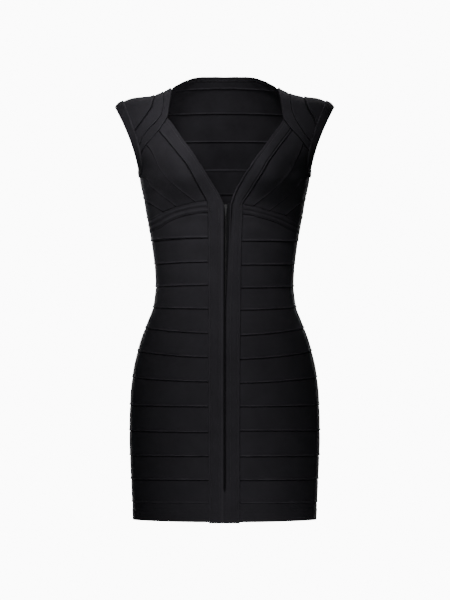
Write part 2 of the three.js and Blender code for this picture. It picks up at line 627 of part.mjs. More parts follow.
// Body bands, each from the right front band round the back to the left one
function bodySeam({ left, side, right }) {
  const start = skinPlace(true, lookUp(RIGHT.bandOuter, 'z', 'x', right), right)[0];
  const end = 2 * Math.PI + skinPlace(true, -lookUp(LEFT.bandOuter, 'z', 'x', left), left)[0];
  return Array.from({ length: AROUND + 1 }, (_, i) => {
    const angle = start + ((end - start) * i) / AROUND;
    const nearFront = Math.max(0, Math.cos(angle)) ** 2;
    const z = side + ((angle < Math.PI ? right : left) - side) * nearFront;
    return [angle, (z - UNDERARM_Z) / BELOW_SPAN];
  });
}

function bodyBands() {
  const seams = BODY_SEAMS.map(bodySeam);
  seams.slice(1).forEach((lower, k) => {
    const upper = seams[k];
    const ends = [0, AROUND].map((i) => between(upper[i], lower[i], 2));
    piece(`body_band_${k + 1}`, skinPoint, [upper, lower, ...ends], { rise: proud });
  });
}

// The back above the body bands: neck band, yoke and five strips
function backPieces() {
  const seamPlace = (x) => [x / armX(Math.cos(SHOULDER_SEAM)), SHOULDER_SEAM];
  const mirrored = (places) => [...places].reverse().map(([u, turn]) => [-u, turn]);
  const halfLine = (list, end) => (
    line([...list.map(({ x, z }) => overPlace(false, x, z)), end], BACK_HALF_STEPS));
  const neckHalf = halfLine(BACK_NECK, seamPlace(NECK_HALF));
  const lowerHalf = (plan) => halfLine(BACK_NECK_LOWER, seamPlace(plan.stripB[0].x));
  const neckTop = [...mirrored(neckHalf.slice(1)), ...neckHalf];
  const neckLow = [...mirrored(lowerHalf(LEFT).slice(1)), ...lowerHalf(RIGHT)];
  const last = 2 * BACK_HALF_STEPS;
  const across = (i) => between(neckTop[i], neckLow[i], 2);
  piece('back_neck_band', overPoint, [neckTop, neckLow, across(0), across(last)], { rise: proud });

  // Yoke: from the shoulder seams and the neck band down to the first seam
  const tip = edgeU(false, Math.cos(SHOULDER_SEAM));
  const slope = (from, plan, side) => {
    const cap = [side * seamPlace(plan.stripC[0].x)[0], SHOULDER_SEAM];
    return [
      ...between(from, cap, 2).slice(1),
      ...between(cap, [side * tip, SHOULDER_SEAM], CAP_STEPS).slice(1),
    ];
  };
  const yokeTop = [...slope(neckLow[0], LEFT, -1).reverse(), ...neckLow, ...slope(neckLow[last], RIGHT, 1)];
  const steps = yokeTop.length - 1;
  const seamZ = (x, z) => {
    const height = (z - UNDERARM_Z) / (BACK_SEAMS[0] - UNDERARM_Z);
    return z - BACK_SEAM_ARCH * height * (x / SHOULDER_TIP) ** 2;
  };
  const seam = (z, over) => {
    const endZ = seamZ(BACK_END_X, z);
    const endX = edgePlace(false, 1, endZ, true)[0] * armX(placeOf(BACK_END_X, endZ).h);
    const crowd = (Math.PI / 2) * BACK_END_CROWD;
    return Array.from({ length: steps + 1 }, (_, i) => {
      if (i === 0 || i === steps) return edgePlace(false, i === 0 ? -1 : 1, endZ, over);
      const x = (endX * Math.sin(((2 * i) / steps - 1) * crowd)) / Math.sin(crowd);
      return (over ? overPlace : skinPlace)(false, x, seamZ(x, z));
    });
  };
  const yokeLow = seam(BACK_SEAMS[0], true);
  const yokeSide = (side) => between([0, SHOULDER_SEAM], yokeLow[0], 2)
    .map(([, turn]) => [side * edgeU(false, Math.cos(turn)), turn]);
  piece('back_yoke', overPoint, [yokeTop, yokeLow, yokeSide(-1), yokeSide(1)], { rise: tapered(proud, 5) });

  // Two strips between the arms
  const armSeams = [BACK_SEAMS[0], BACK_SEAMS[1], UNDERARM_Z + BACK_ARM_GAP];
  armSeams.slice(1).forEach((low, k) => {
    const ends = [seamZ(BACK_END_X, armSeams[k]), seamZ(BACK_END_X, low)];
    const side = (sign) => between([0, ends[0]], [0, ends[1]], 2)
      .map(([, z]) => edgePlace(false, sign, z, false));
    const lines = [seam(armSeams[k], false), seam(low, false), side(-1), side(1)];
    piece(`back_band_${k + 1}`, skinPoint, lines, { rise: tapered(proud, 5) });
  });

  // Three strips below the arms
  const ringLine = (z) => {
    const ends = Math.PI / 2 + SIDE_GAP;
    return between([2 * Math.PI - ends, 0], [ends, 0], steps)
      .map(([angle]) => [angle, (z - UNDERARM_Z) / BELOW_SPAN]);
  };
  const levels = [...BACK_SEAMS.slice(2), BODY_SEAMS[0].side];
  levels.slice(1).forEach((low, k) => {
    const [upper, lower] = [ringLine(levels[k]), ringLine(low)];
    const ends = [0, steps].map((i) => between(upper[i], lower[i], 2));
    piece(`back_band_${k + 3}`, skinPoint, [upper, lower, ...ends], { rise: proud });
  });
}

// Zip: two tapes and the closed chain behind the front bands
function zipCloth() {
  const strip = (name, inside, outside, top, low, options) => {
    const steps = 12;
    const edge = (xAt) => Array.from({ length: steps + 1 }, (_, i) => {
      const z = top + ((low - top) * (i / steps) ** 1.4);
      return skinPlace(true, xAt(z), z);
    });
    const [first, second] = [edge(inside), edge(outside)];
    const [start, end] = [0, steps].map((i) => between(first[i], second[i], 1));
    wall(name, skinPoint, fill(first, second, start, end), options);
  };
  const clear = SLIDER.wide / 2 + 0.4;
  const chainEdge = ZIP.chainWide / 2 + 0.3;
  const besideSlider = (z) => (z > ZIP.sliderLow - 1 ? clear : chainEdge);
  const options = { under: -ZIP.behind, cloth: ZIP.tape, material: TAPE };
  const { x, top, bottom, tapeWide } = ZIP;
  strip('zip_tape_left', (z) => x - besideSlider(z), () => x - tapeWide, top, bottom, options);
  strip('zip_tape_right', (z) => x + besideSlider(z), () => x + tapeWide, top, bottom, options);
  const chain = { under: -ZIP.behind - 0.1, cloth: ZIP.chain, material: METAL };
  const chainHalf = ZIP.chainWide / 2;
  strip('zip_chain', () => x - chainHalf, () => x + chainHalf, ZIP.sliderLow - SEAM_GAP, bottom + 3, chain);
}

// Turns a drawing in the X-Z plane, thick along Y, into a mesh that faces out
function plate(shape, thick, y) {
  const geometry = new THREE.ExtrudeGeometry(shape, { depth: thick, bevelEnabled: false, curveSegments: 8 });
  geometry.rotateX(Math.PI / 2);
  geometry.translate(0, y, 0);
  return geometry;
}

async function zipSlider() {
  const wasm = await Module();
  wasm.setup();
  const solid = (geometry) => {
    geometry.deleteAttribute('normal');
    geometry.deleteAttribute('uv');
    const merged = mergeVertices(geometry, 1e-4);
    return new wasm.Manifold(new wasm.Mesh({
      numProp: 3,
      vertProperties: new Float32Array(merged.attributes.position.array),
      triVerts: new Uint32Array(merged.index.array),
    }));
  };
  const middleZ = (ZIP.sliderTop + ZIP.sliderLow) / 2;
  const faceY = skinPoint(...skinPlace(true, ZIP.x, middleZ)).y;
  const half = SLIDER.wide / 2;
  const long = SLIDER.long / 2;

  // Body: a shield that narrows to its foot
  const shield = new THREE.Shape();
  shield.moveTo(-half + 0.6, long);
  shield.lineTo(half - 0.6, long);
  shield.quadraticCurveTo(half, long, half, long - 0.8);
  shield.lineTo(half, -1);
  shield.lineTo(half - 0.8, -long);
  shield.lineTo(-half + 0.8, -long);
  shield.lineTo(-half, -1);
  shield.lineTo(-half, long - 0.8);
  shield.quadraticCurveTo(-half, long, -half + 0.6, long);
  const body = plate(shield, SLIDER.deep, -SLIDER.proud + SLIDER.deep);

  // Crown: the arch that holds the pull tab, drawn from the side and extruded across
  const arch = new THREE.Shape();
  const reach = CROWN.long / 2;
  arch.moveTo(-reach, -0.2);
  arch.lineTo(-reach, CROWN.high - 0.7);
  arch.quadraticCurveTo(-reach, CROWN.high, -reach + 0.7, CROWN.high);
  arch.lineTo(reach - 0.7, CROWN.high);
  arch.quadraticCurveTo(reach, CROWN.high, reach, CROWN.high - 0.7);
  arch.lineTo(reach, -0.2);
  arch.lineTo(reach - CROWN.wall, -0.2);
  arch.lineTo(reach - CROWN.wall, CROWN.high - CROWN.wall);
  arch.lineTo(-reach + CROWN.wall, CROWN.high - CROWN.wall);
  arch.lineTo(-reach + CROWN.wall, -0.2);
  arch.closePath();
  const crown = new THREE.ExtrudeGeometry(arch, { depth: CROWN.wide, bevelEnabled: false, curveSegments: 3 });
  // x of the drawing goes up the slider and y goes out of it
  crown.applyMatrix4(new THREE.Matrix4().makeBasis(
    new THREE.Vector3(0, 0, 1), new THREE.Vector3(0, -1, 0), new THREE.Vector3(1, 0, 0)));
  crown.translate(-CROWN.wide / 2, -SLIDER.proud, 1);
  const joined = solid(body).add(solid(crown)).getMesh();
  const geometry = new THREE.BufferGeometry();
  geometry.setAttribute('position', new THREE.BufferAttribute(new Float32Array(joined.vertProperties), 3));
  geometry.setIndex([...joined.triVerts]);
  const slider = new THREE.Mesh(geometry, METAL);
  slider.name = 'zip_slider';
  slider.position.set(ZIP.x, faceY, middleZ);
  dress.add(slider);

  // Pull tab: hangs by the bar above its eye, inside the crown
  const w = TAB.wide / 2;
  const outline = new THREE.Shape();
  outline.moveTo(-w, TAB.bar);
  outline.lineTo(-w, -TAB.eyeLong - TAB.shoulder);
  outline.lineTo(-TAB.tip / 2, -TAB.long + TAB.tip / 2);
  outline.absarc(0, -TAB.long + TAB.tip / 2, TAB.tip / 2, Math.PI, 2 * Math.PI, false);
  outline.lineTo(w, -TAB.eyeLong - TAB.shoulder);
  outline.lineTo(w, TAB.bar);
  outline.closePath();
  const eye = new THREE.Path();
  const e = TAB.eye / 2;
  eye.moveTo(-e, -TAB.bar);
  eye.lineTo(e, -TAB.bar);
  eye.lineTo(e, -TAB.eyeLong - TAB.bar);
  eye.lineTo(-e, -TAB.eyeLong - TAB.bar);
  eye.closePath();
  outline.holes.push(eye);
  const tab = new THREE.Mesh(plate(outline, TAB.thick, TAB.thick / 2), METAL);
  tab.name = 'zip_pull_tab';
  tab.position.set(ZIP.x, faceY - SLIDER.proud - (CROWN.high - CROWN.wall) / 2, middleZ + 1);
  dress.add(tab);
}

bodiceSide('left', -1, LEFT);
bodiceSide('right', 1, RIGHT);
armholeBand('left', -1);
armholeBand('right', 1);
backPieces();
bodyBands();
zipCloth();
await zipSlider();

export default dress;
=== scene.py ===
"""Looks of the bodycon dress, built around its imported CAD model, which is drawn here in millimetres."""
import math

import bpy
import numpy as np
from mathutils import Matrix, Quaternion, Vector


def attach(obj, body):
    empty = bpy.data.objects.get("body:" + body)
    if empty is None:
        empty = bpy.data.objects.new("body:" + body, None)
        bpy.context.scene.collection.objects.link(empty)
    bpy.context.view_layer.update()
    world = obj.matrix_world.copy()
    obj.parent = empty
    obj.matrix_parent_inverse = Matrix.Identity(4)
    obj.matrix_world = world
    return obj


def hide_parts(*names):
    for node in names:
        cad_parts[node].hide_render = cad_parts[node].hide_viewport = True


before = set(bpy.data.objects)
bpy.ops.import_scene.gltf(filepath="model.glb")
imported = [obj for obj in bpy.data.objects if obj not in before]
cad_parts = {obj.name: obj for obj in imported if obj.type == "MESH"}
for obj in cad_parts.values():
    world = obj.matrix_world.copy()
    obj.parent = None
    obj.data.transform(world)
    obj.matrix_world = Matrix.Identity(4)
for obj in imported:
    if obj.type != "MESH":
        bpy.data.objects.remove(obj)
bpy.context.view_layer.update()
MM = 0.001

# The form, in millimetres: the same numbers as the CAD source
CLOTH = 1.7
ROUND = 2.2
SIDE_Y = 5
UNDERARM = -141
SPAN = 100
RINGS = np.array([
    [-141, 157.7, 102, 90], [-163, 155.2, 101, 90], [-192, 149.2, 98, 88], [-222, 144.2, 95, 86],
    [-251, 138.7, 92, 82], [-281, 133.6, 90, 78], [-310, 129.7, 88, 74], [-340, 127.2, 87, 70],
    [-369, 128.0, 87, 69], [-398, 133.2, 90, 72], [-428, 145.0, 94, 80], [-457, 155.5, 98, 88],
    [-487, 163.5, 101, 96], [-516, 169.2, 102, 102], [-560, 173.6, 103, 106], [-634, 175.2, 102, 105],
    [-707, 172.4, 100, 99], [-786, 168.4, 98, 93]])
# Over the underarm: how the sides lean and flare, how far the armholes cut in, how far the chest falls in,
# how a cup swells, and how far the panels end from the armhole
ARM_SLOPE, ARM_FLARE = 11.4, 31.9
ARM_DEPTH = {"front": 50, "back": 52}
CHEST_SAG = 0.2
CUP = {"x": 82, "z": -150, "wide": 46, "up": 78, "down": 40, "lift": 30}
PANEL_END = {"low": 0.03, "top": 0.006}
TIP = 201
RIDGE = np.array([
    [0, 88], [25, 81], [50, 62], [75, 37], [86, 24], [93, 17], [99.5, 10.5], [106, 6.4], [114, 2.8],
    [123, -0.9], [137, -4.6], [167, -8.3], [180, -12], [194.5, -19.3], [201, -27]])
SHOULDER_SEAM = -0.2
NECK_HALF = 99.5
SIDE_GAP = 0.0008

# Seams of the front as [x, z], with x from the centre line, one table for each side of the picture
LEFT = {
    "side": -1, "word": "left",
    "neck": [[99.3, 9.8], [98.8, -3.9], [101.9, -24.8], [104.9, -45.5]],
    "chest": [[104.9, -45.5], [112.4, -56.8], [121.3, -69.6], [134.7, -85.6], [143.7, -95.3],
        [152.2, -108.4]],
    "chest_end": -128,
    "strip_b": [[113, 3], [112.6, -8], [114.6, -33.7], [125.1, -51.3], [135.8, -61.8], [149.8, -79.5],
        [155, -92]],
    "strip_b_end": -106,
    "strip_c": [[129, -2.5], [130.1, -8], [135.6, -26.7], [149.8, -47.7], [160.4, -61.8]],
    "strip_c_end": -80,
    "v_inner": [[104.9, -45.5], [77, -84.5], [49.9, -122.4], [38.1, -141.1], [24.1, -163.4], [9.9, -186.9],
        [0.7, -205.7]],
    "v_outer": [[121.3, -69.6], [111.3, -81.3], [98.4, -96.6], [84.3, -114.1], [64, -142.2],
        [52.3, -163.8], [42.9, -180.7], [36.9, -190.5], [32.5, -199.2]],
    "cup_one": [[143.7, -95.3], [137.5, -101.5], [130.1, -114.1], [124.2, -127.1], [117.9, -140],
        [103.8, -158.8], [89.8, -171.7], [74.5, -184.2], [52, -201.3]],
    "cup_two_side": -146,
    "cup_two": [[143.7, -157], [135.6, -170.2], [121.4, -183.4], [103.8, -196.3], [87.4, -209.6]],
    "cup_three_side": -193,
    "cup_three": [[136, -203], [123.8, -210.2], [111, -219]],
    "bust_top": [[32.5, -199.2], [52, -201.3], [87.4, -209.6], [111, -219], [114.4, -220.8], [130, -230]],
    "bust_top_side": -239,
    "bust_low": [[30.3, -219.1], [45.1, -220.4], [59.2, -222.5], [74.5, -225.6], [92.2, -231.2],
        [108, -239], [121.4, -247.8]],
    "bust_low_side": -258,
    "sliver": [[-58.5, -222.6], [-49.9, -223.2], [-39.4, -224.6], [-27, -226.2]],
    "band_inner": [[0.7, -205.7], [0.7, -500], [0.7, -788.5]],
    "band_outer": [[32.5, -199.2], [30.3, -219.1], [29.8, -266], [29.8, -500], [28.6, -788.5]],
}
RIGHT = {
    "side": 1, "word": "right",
    "neck": [[98.2, 9.2], [99.2, 1], [102.3, -13.2], [105.2, -33.1], [108, -48.5]],
    "chest": [[108, -48.5], [114.6, -57.2], [124, -68.6], [134.5, -79.7], [143.4, -90.4], [150.6, -101.4]],
    "chest_end": -121,
    "strip_b": [[119.5, -0.5], [121.1, -14.4], [123.5, -29.6], [127.5, -42.5], [134.5, -55.6],
        [141.4, -66.1], [151, -80]],
    "strip_b_end": -98,
    "strip_c": [[146, -7], [149, -17], [154.6, -30.9], [162, -42.5], [166.8, -54.3]],
    "strip_c_end": -78,
    "v_inner": [[108, -48.5], [93.5, -69], [70.1, -101.2], [38.3, -145.9], [26.3, -166.5], [18.4, -181.2],
        [12.5, -197.4], [9, -208.1]],
    "v_outer": [[124, -68.6], [109.8, -87.4], [93.5, -109.5], [81.5, -126], [71.8, -143.5], [57, -166.9],
        [45.3, -185.7], [38.3, -195], [32.4, -205.5]],
    "cup_one": [[143.4, -90.4], [141.5, -98.5], [136.9, -110.6], [128.6, -128.2], [122.7, -140],
        [112.2, -155.3], [97, -170.4], [79.3, -186.4], [51, -208.6]],
    "cup_two_side": -146,
    "cup_two": [[143.7, -157], [135, -170.2], [125.1, -181.1], [105.2, -198.2], [80.5, -217]],
    "cup_three_side": -195,
    "cup_three": [[136, -205], [123.8, -214], [110, -226.2]],
    "bust_top": [[32.4, -205.5], [51, -208.6], [80.5, -217], [110, -226.2], [113.4, -227.4], [130, -236]],
    "bust_top_side": -245,
    "bust_low": [[32.9, -222.1], [50, -224.5], [61.8, -228], [75.8, -231.5], [94.6, -237.3], [108, -243.6],
        [121.4, -251]],
    "bust_low_side": -260,
    "sliver": [[34.8, -229.8], [50, -229.2], [64, -229.4], [76, -231.4]],
    "band_inner": [[9, -208.1], [7.6, -235], [6.2, -270], [3.6, -330], [1.4, -390], [0.9, -500],
        [0.9, -788.5]],
    "band_outer": [[32.4, -205.5], [32.9, -222.1], [30.7, -272], [28.9, -400], [27.8, -500], [27.8, -788.5]],
}
# Seams of the body bands: height at the left front band, at both side lines and at the right front band
BODY_SEAMS = [
    [-266, -273, -272], [-310, -315, -316], [-352.5, -356, -358], [-396.5, -394, -398.5],
    [-441, -431.5, -445], [-485, -474, -488.5], [-529.5, -522, -532], [-575, -573, -575],
    [-622, -620, -619], [-665.7, -665.7, -666.3], [-709.3, -709.3, -709.5], [-751.3, -751.5, -752],
    [-786.6, -784, -786.6]]
BACK_NECK = [[0, 32], [25, 32.2], [45, 31.8], [62, 28.5], [71, 25], [80, 21], [86, 17.5], [93, 13.4]]
BACK_NECK_LOW = [[0, 10], [30, 9.7], [60, 8.4], [82, 6], [98, 3]]
BACK_SEAMS = [-36, -88, -141, -186, -230]
BACK_END_X = 170
BACK_SEAM_ARCH = 8
BACK_ARM_GAP = 0.05
BACK_CROWD = 0.98
ZIP = {"x": 2, "top": -204, "low": -731, "tape": 14, "behind": 2.2, "thick": 0.8, "slider_low": -214.5}
# Where the V turns into the zip's slit, and where the slit closes and its dark line of painted shade ends
SLIT = {"top": -206, "closed": -727.5, "end": -730}
# Steps along the lines of the CAD source, and how many times as many are taken here
V_STEPS, CUP_STEPS, CHEST_STEPS, SHOULDER_STEPS, CAP_STEPS, BACK_STEPS, AROUND = 12, 8, 3, 17, 4, 9, 40
FINE = 8
# The binding of an armhole
BINDING = {"around": 260, "drop": 0.14, "reach": 0.075, "bend": 1.3, "proud": 2.3, "clear": 0.8, "wrap": 2.9}
# How far past its seam a tucked edge runs under its neighbour, and how far a plain edge does
TUCK = 2.3
FLUSH = 0.12
# The letter that names each edge of a strip
EDGES = {"top": "t", "low": "l", "start": "s", "end": "e"}
# The inner face of the cloth is coloured a little darker than its outer face
INSIDE_TONE = -0.22
# Rows of thread, as distances from an edge of their strip
FOLD_ROW, DOUBLE_ROW, NECK_ROW, ARMHOLE_ROW, BAND_HEM_ROW = 9.9, 4.6, 6.2, 3.0, 20.5
HEM_ROWS = (19.4, 21.6)
STITCH = {"pitch": 3.1, "long": 2.3, "radius": 0.22, "arch": 0.16}
COIL = {"pitch": 0.72, "behind": 2.75, "short": 0.45, "long": 1.5, "radius": 0.33, "arch": 0.22, "foot": 3.5}


def look_up(table, column, place, key=0):
    """Smooth value of one column of a table, between the rows next to a place."""
    rows = np.asarray(table, float)
    if rows[1, key] < rows[0, key]:
        rows = rows[::-1]
    k, v = rows[:, key], rows[:, column]
    i = np.arange(len(k))
    before, after = np.maximum(i - 1, 0), np.minimum(i + 1, len(k) - 1)
    slope = (v[after] - v[before]) / (k[after] - k[before])
    at = np.clip(place, k[0], k[-1])
    i = np.clip(np.searchsorted(k, at) - 1, 0, len(k) - 2)
    span = k[i + 1] - k[i]
    t = (at - k[i]) / span
    bend = t * t * (3 - 2 * t)
    base = v[i] * (1 - bend) + v[i + 1] * bend
    return base + span * (slope[i] * t * (1 - t) ** 2 - slope[i + 1] * t * t * (1 - t))


def rounded(share):
    return np.maximum(0, 1 - np.abs(share) ** ROUND) ** (1 / ROUND)


def arm_x(s):
    s = np.maximum(s, 0)
    return RINGS[0, 1] + ARM_SLOPE * s + ARM_FLARE * s ** 1.5


def sag(front, s):
    return np.where(front, 1 - 4 * CHEST_SAG * s * s * (1 - s * s), 1)


def arm_share(front, s):
    depth = np.where(front, ARM_DEPTH["front"] / RINGS[0, 2], ARM_DEPTH["back"] / RINGS[0, 3])
    s = np.maximum(s, 0)
    return 2 * depth * np.sqrt(s / (1 + s)) / sag(front, s)


def arm_round(front, s):
    return rounded(arm_share(front, s))


def ridge_z(u):
    return look_up(RIDGE, 1, np.minimum(np.abs(u), 1) * TIP)


def cup_lift(x, z, share, s):
    across = (np.abs(x) - CUP["x"]) / CUP["wide"]
    up = (z - CUP["z"]) / np.where(z > CUP["z"], CUP["up"], CUP["down"])
    fade = np.minimum(1, 2 * share) * (1 - np.maximum(s, 0) ** 6)
    return CUP["lift"] * np.exp(-across ** 2 - up ** 2) * fade


def over(u, turn):
    """The cloth's outer face by share of the half width and turn over the shoulder."""
    u, turn = np.broadcast_arrays(np.asarray(u, float), np.asarray(turn, float))
    front = turn >= 0
    s = np.cos(turn)
    share = rounded(arm_round(front, s) * u)
    depth = np.where(front, RINGS[0, 2], RINGS[0, 3]) * np.sin(turn) * sag(front, s)
    x = arm_x(s) * u
    z = UNDERARM + s * (ridge_z(u) - UNDERARM)
    lift = np.where(front, cup_lift(x, z, share, s), 0)
    return np.stack([x, SIDE_Y - depth * share - lift, z], -1)


def skin(angle, h):
    """The cloth's outer face by angle round the body and share of the way up to the shoulder."""
    angle, h = np.broadcast_arrays(np.asarray(angle, float), np.asarray(h, float))
    front = np.cos(angle) >= 0
    share = np.abs(np.cos(angle)) ** (2 / ROUND)
    across = np.sign(np.sin(angle)) * np.abs(np.sin(angle)) ** (2 / ROUND)
    high = np.clip(h, 0, 1)
    u = np.where(h > 0, across / np.maximum(arm_round(front, high), 1e-9), across)
    low_z = UNDERARM + h * SPAN
    z = np.where(h > 0, UNDERARM + h * (ridge_z(u) - UNDERARM), low_z)
    x = np.where(h > 0, arm_x(high) * u, look_up(RINGS, 1, low_z) * u)
    low = np.where(front, look_up(RINGS, 2, low_z), look_up(RINGS, 3, low_z))
    top = np.where(front, RINGS[0, 2], RINGS[0, 3]) * np.sqrt(1 - high ** 2) * sag(front, high)
    depth = np.where(h > 0, top, low) * share
    y = np.where(front, SIDE_Y - depth - cup_lift(x, z, share, h), SIDE_Y + depth)
    return np.stack([x, y, z], -1)


def place_of(x, z):
    """Share of the half width and share of the way up, for a place in the elevation."""
    x, z = np.broadcast_arrays(np.asarray(x, float), np.asarray(z, float))
    u = x / TIP
    h = np.zeros_like(u)
    for _ in range(12):
        h = np.clip((z - UNDERARM) / (ridge_z(u) - UNDERARM), 0, 1)
        u = x / arm_x(h)
    below = z <= UNDERARM
    u = np.where(below, np.clip(x / look_up(RINGS, 1, z), -1, 1), u)
    return u, np.where(below, (z - UNDERARM) / SPAN, h)


def skin_place(front, x, z):
    u, h = place_of(x, z)
    across = np.clip(np.abs(u) * arm_round(front, h), 0, 1)
    turn = np.arcsin(across ** (ROUND / 2)) * np.where(np.asarray(x) < 0, -1, 1)
    return np.stack([turn if front else math.pi - turn, h + 0 * turn], -1)


def over_place(front, x, z):
    u, h = place_of(x, z)
    return np.stack([u, (1 if front else -1) * np.arccos(np.clip(h, -1, 1))], -1)


def over_from_skin(places):
    angle, h = places[..., 0], places[..., 1]
    across = np.sign(angle) * np.abs(np.sin(angle)) ** (2 / ROUND)
    return np.stack([across / arm_round(True, h), np.arccos(np.clip(h, -1, 1))], -1)


def edge_share(front, s):
    return arm_share(front, s) + PANEL_END["low"] * (1 - s) + PANEL_END["top"] * s


def edge_u(front, s):
    return rounded(edge_share(front, s)) / arm_round(front, s)


def edge_place(front, side, z, is_over):
    """Where a panel ends beside the armhole, at a height."""
    z = np.asarray(z, float)
    s = (z - UNDERARM) / -UNDERARM
    for _ in range(20):
        s = np.clip((z - UNDERARM) / (ridge_z(edge_u(front, s)) - UNDERARM), 0, 1)
    if is_over:
        return np.stack([side * edge_u(front, s), (1 if front else -1) * np.arccos(s)], -1)
    turn = side * np.arccos(edge_share(front, s) ** (ROUND / 2))
    return np.stack([turn if front else math.pi - turn, s], -1)


def seam_place(x):
    """A place on the shoulder seam."""
    return np.array([x / arm_x(math.cos(SHOULDER_SEAM)), SHOULDER_SEAM])


def outward(chart, a, b):
    """The directions straight out of the form."""
    tiny = 0.002
    p = chart(a, b)
    along_a = chart(a + tiny, b) - chart(a - tiny, b)
    along_b = chart(a, b + tiny) - chart(a, b - tiny)
    normal = np.cross(along_a, along_b)
    normal /= np.maximum(np.linalg.norm(normal, axis=-1, keepdims=True), 1e-12)
    inside = np.stack([0.8 * p[..., 0], 0 * p[..., 1] + SIDE_Y, p[..., 2] - 50], -1)
    flip = np.sum(normal * (p - inside), -1, keepdims=True) < 0
    return np.where(flip, -normal, normal)


def spline(places, shares):
    """Points of a smooth line through places, at shares of its parameter."""
    pts = np.asarray(places, float)
    at = np.asarray(shares, float) * (len(pts) - 1)
    i = np.clip(at.astype(int), 0, len(pts) - 2)
    t = (at - i)[:, None]
    p0, p1 = pts[np.maximum(i - 1, 0)], pts[i]
    p2, p3 = pts[i + 1], pts[np.minimum(i + 2, len(pts) - 1)]
    v0, v1 = (p2 - p0) / 2, (p3 - p1) / 2
    return (2 * p1 - 2 * p2 + v0 + v1) * t ** 3 + (3 * p2 - 3 * p1 - 2 * v0 - v1) * t ** 2 + v0 * t + p1


def line(places, steps):
    """Evenly spaced places on a smooth line, FINE times as many as the CAD solids take."""
    dense = spline(places, np.linspace(0, 1, 801))
    run = np.concatenate([[0], np.cumsum(np.linalg.norm(np.diff(dense, axis=0), axis=1))])
    at = np.linspace(0, run[-1], steps * FINE + 1)
    return np.stack([np.interp(at, run, dense[:, c]) for c in (0, 1)], -1)


def between(a, b, steps=1):
    t = np.linspace(0, 1, steps * FINE + 1)[:, None]
    return np.asarray(a) * (1 - t) + np.asarray(b) * t


def joined(*parts):
    return np.concatenate([parts[0]] + [p[1:] for p in parts[1:]])


def at_shares(places, shares):
    """Places at shares of a line's steps, and a little past its ends."""
    index = np.asarray(shares) * (len(places) - 1)
    k = np.clip(index.astype(int), 0, len(places) - 2)
    t = (index - k)[:, None]
    return places[k] * (1 - t) + places[k + 1] * t


def run_length(points, axis):
    step = np.linalg.norm(np.diff(points, axis=axis), axis=-1)
    zero = np.zeros_like(np.take(step, [0], axis))
    return np.concatenate([zero, np.cumsum(step, axis)], axis)


def stops(past):
    """Distances from a seam where a strip's rows lie, near its edge."""
    under = [-past, -past + 0.3, -past + 1, -0.7, -0.35] if past > 1 else [-past]
    return np.array(under + [0, 0.3, 0.7, 1.2, 1.9, 2.8, 4.0, 5.5])


def shares_between(length, spacing, past_start, past_end):
    """Shares along a length in millimetres: even in the middle and close together at both ends."""
    first, last = (s[s <= 0.45 * length] for s in (stops(past_start), stops(past_end)))
    count = max(1, int((length - first[-1] - last[-1]) / spacing))
    middle = np.linspace(first[-1], length - last[-1], count + 1)
    at = np.concatenate([first[:-1], middle, (length - last[:-1])[::-1]])
    return np.unique(np.round(at, 6)) / length


# Making a shell of cloth from its lines
def wobble(at, seed):
    """An uneven wave between about -1 and 1 along a length in millimetres."""
    return (np.sin(at / 9.7 + 2.1 * seed) + 0.7 * np.sin(at / 5.3 + 4.7 * seed)
            + 0.8 * np.sin(at / 23.0 + 1.3 * seed)) / 2.1


def bump(distance, middle, width):
    return np.exp(-((distance - middle) / width) ** 2)


def edge_bump(e, key):
    """Bumps along one of a strip's edges, by their middle and width."""
    return lambda middle, width: bump(e[key], middle, width)


def roll(distance, radius=0.8):
    """How far a folded edge has turned down at a distance from it."""
    near = 1 - np.clip(distance / radius, 0, 1)
    return radius * (1 - np.sqrt(np.maximum(0, 1 - near ** 2)))


# Soft troughs (-) and ridges (+) where the knit pulls: x, z, front (1) or back (-1), half length,
# half width, tilt in degrees and height, in millimetres
CREASES = [
    (-60, -236, 1, 42, 9, 12, -0.9), (-66, -252, 1, 38, 8, 8, 0.7), (58, -240, 1, 40, 9, -10, -0.8),
    (70, -255, 1, 34, 8, -14, 0.6), (-95, -330, 1, 36, 11, -8, 1.0), (-88, -352, 1, 44, 10, -4, -1.1),
    (-70, -381, 1, 38, 12, 6, 0.9), (92, -336, 1, 34, 11, 9, 1.0), (84, -362, 1, 42, 10, 5, -1.0),
    (74, -392, 1, 36, 12, -5, 0.8), (-112, -452, 1, 30, 16, -24, 1.1), (-86, -470, 1, 38, 13, -16, -0.9),
    (112, -456, 1, 30, 15, 22, 1.0), (88, -476, 1, 36, 13, 15, -0.9), (-60, -548, 1, 60, 16, 3, 0.7),
    (66, -596, 1, 58, 16, -4, 0.7), (-74, -640, 1, 56, 17, -3, -0.7), (80, -690, 1, 52, 16, 4, -0.7),
    (-92, -728, 1, 44, 18, 5, 0.8), (96, -742, 1, 40, 16, -6, 0.7), (-118, -175, 1, 22, 9, 38, -0.8),
    (121, -180, 1, 22, 9, -36, -0.8), (-128, -205, 1, 20, 10, 28, 0.8), (127, -211, 1, 20, 10, -26, 0.8),
    (-30, -300, -1, 48, 11, 5, -1.1), (34, -326, -1, 46, 11, -7, 1.0), (-40, -352, -1, 52, 10, 3, 1.0),
    (38, -374, -1, 48, 11, 6, -1.1), (-6, -404, -1, 58, 12, -3, 0.9), (-76, -440, -1, 38, 14, 20, -1.0),
    (78, -446, -1, 38, 14, -19, -1.0), (-92, -520, -1, 44, 18, 12, 0.8), (90, -560, -1, 46, 18, -10, 0.8),
    (-58, -640, -1, 56, 17, 4, -0.7), (62, -700, -1, 54, 17, -5, -0.7), (-88, -180, -1, 34, 12, 24, 1.0),
    (90, -186, -1, 34, 12, -22, 1.0), (-70, -110, -1, 40, 12, 14, -0.8), (72, -104, -1, 40, 12, -12, -0.8),
]


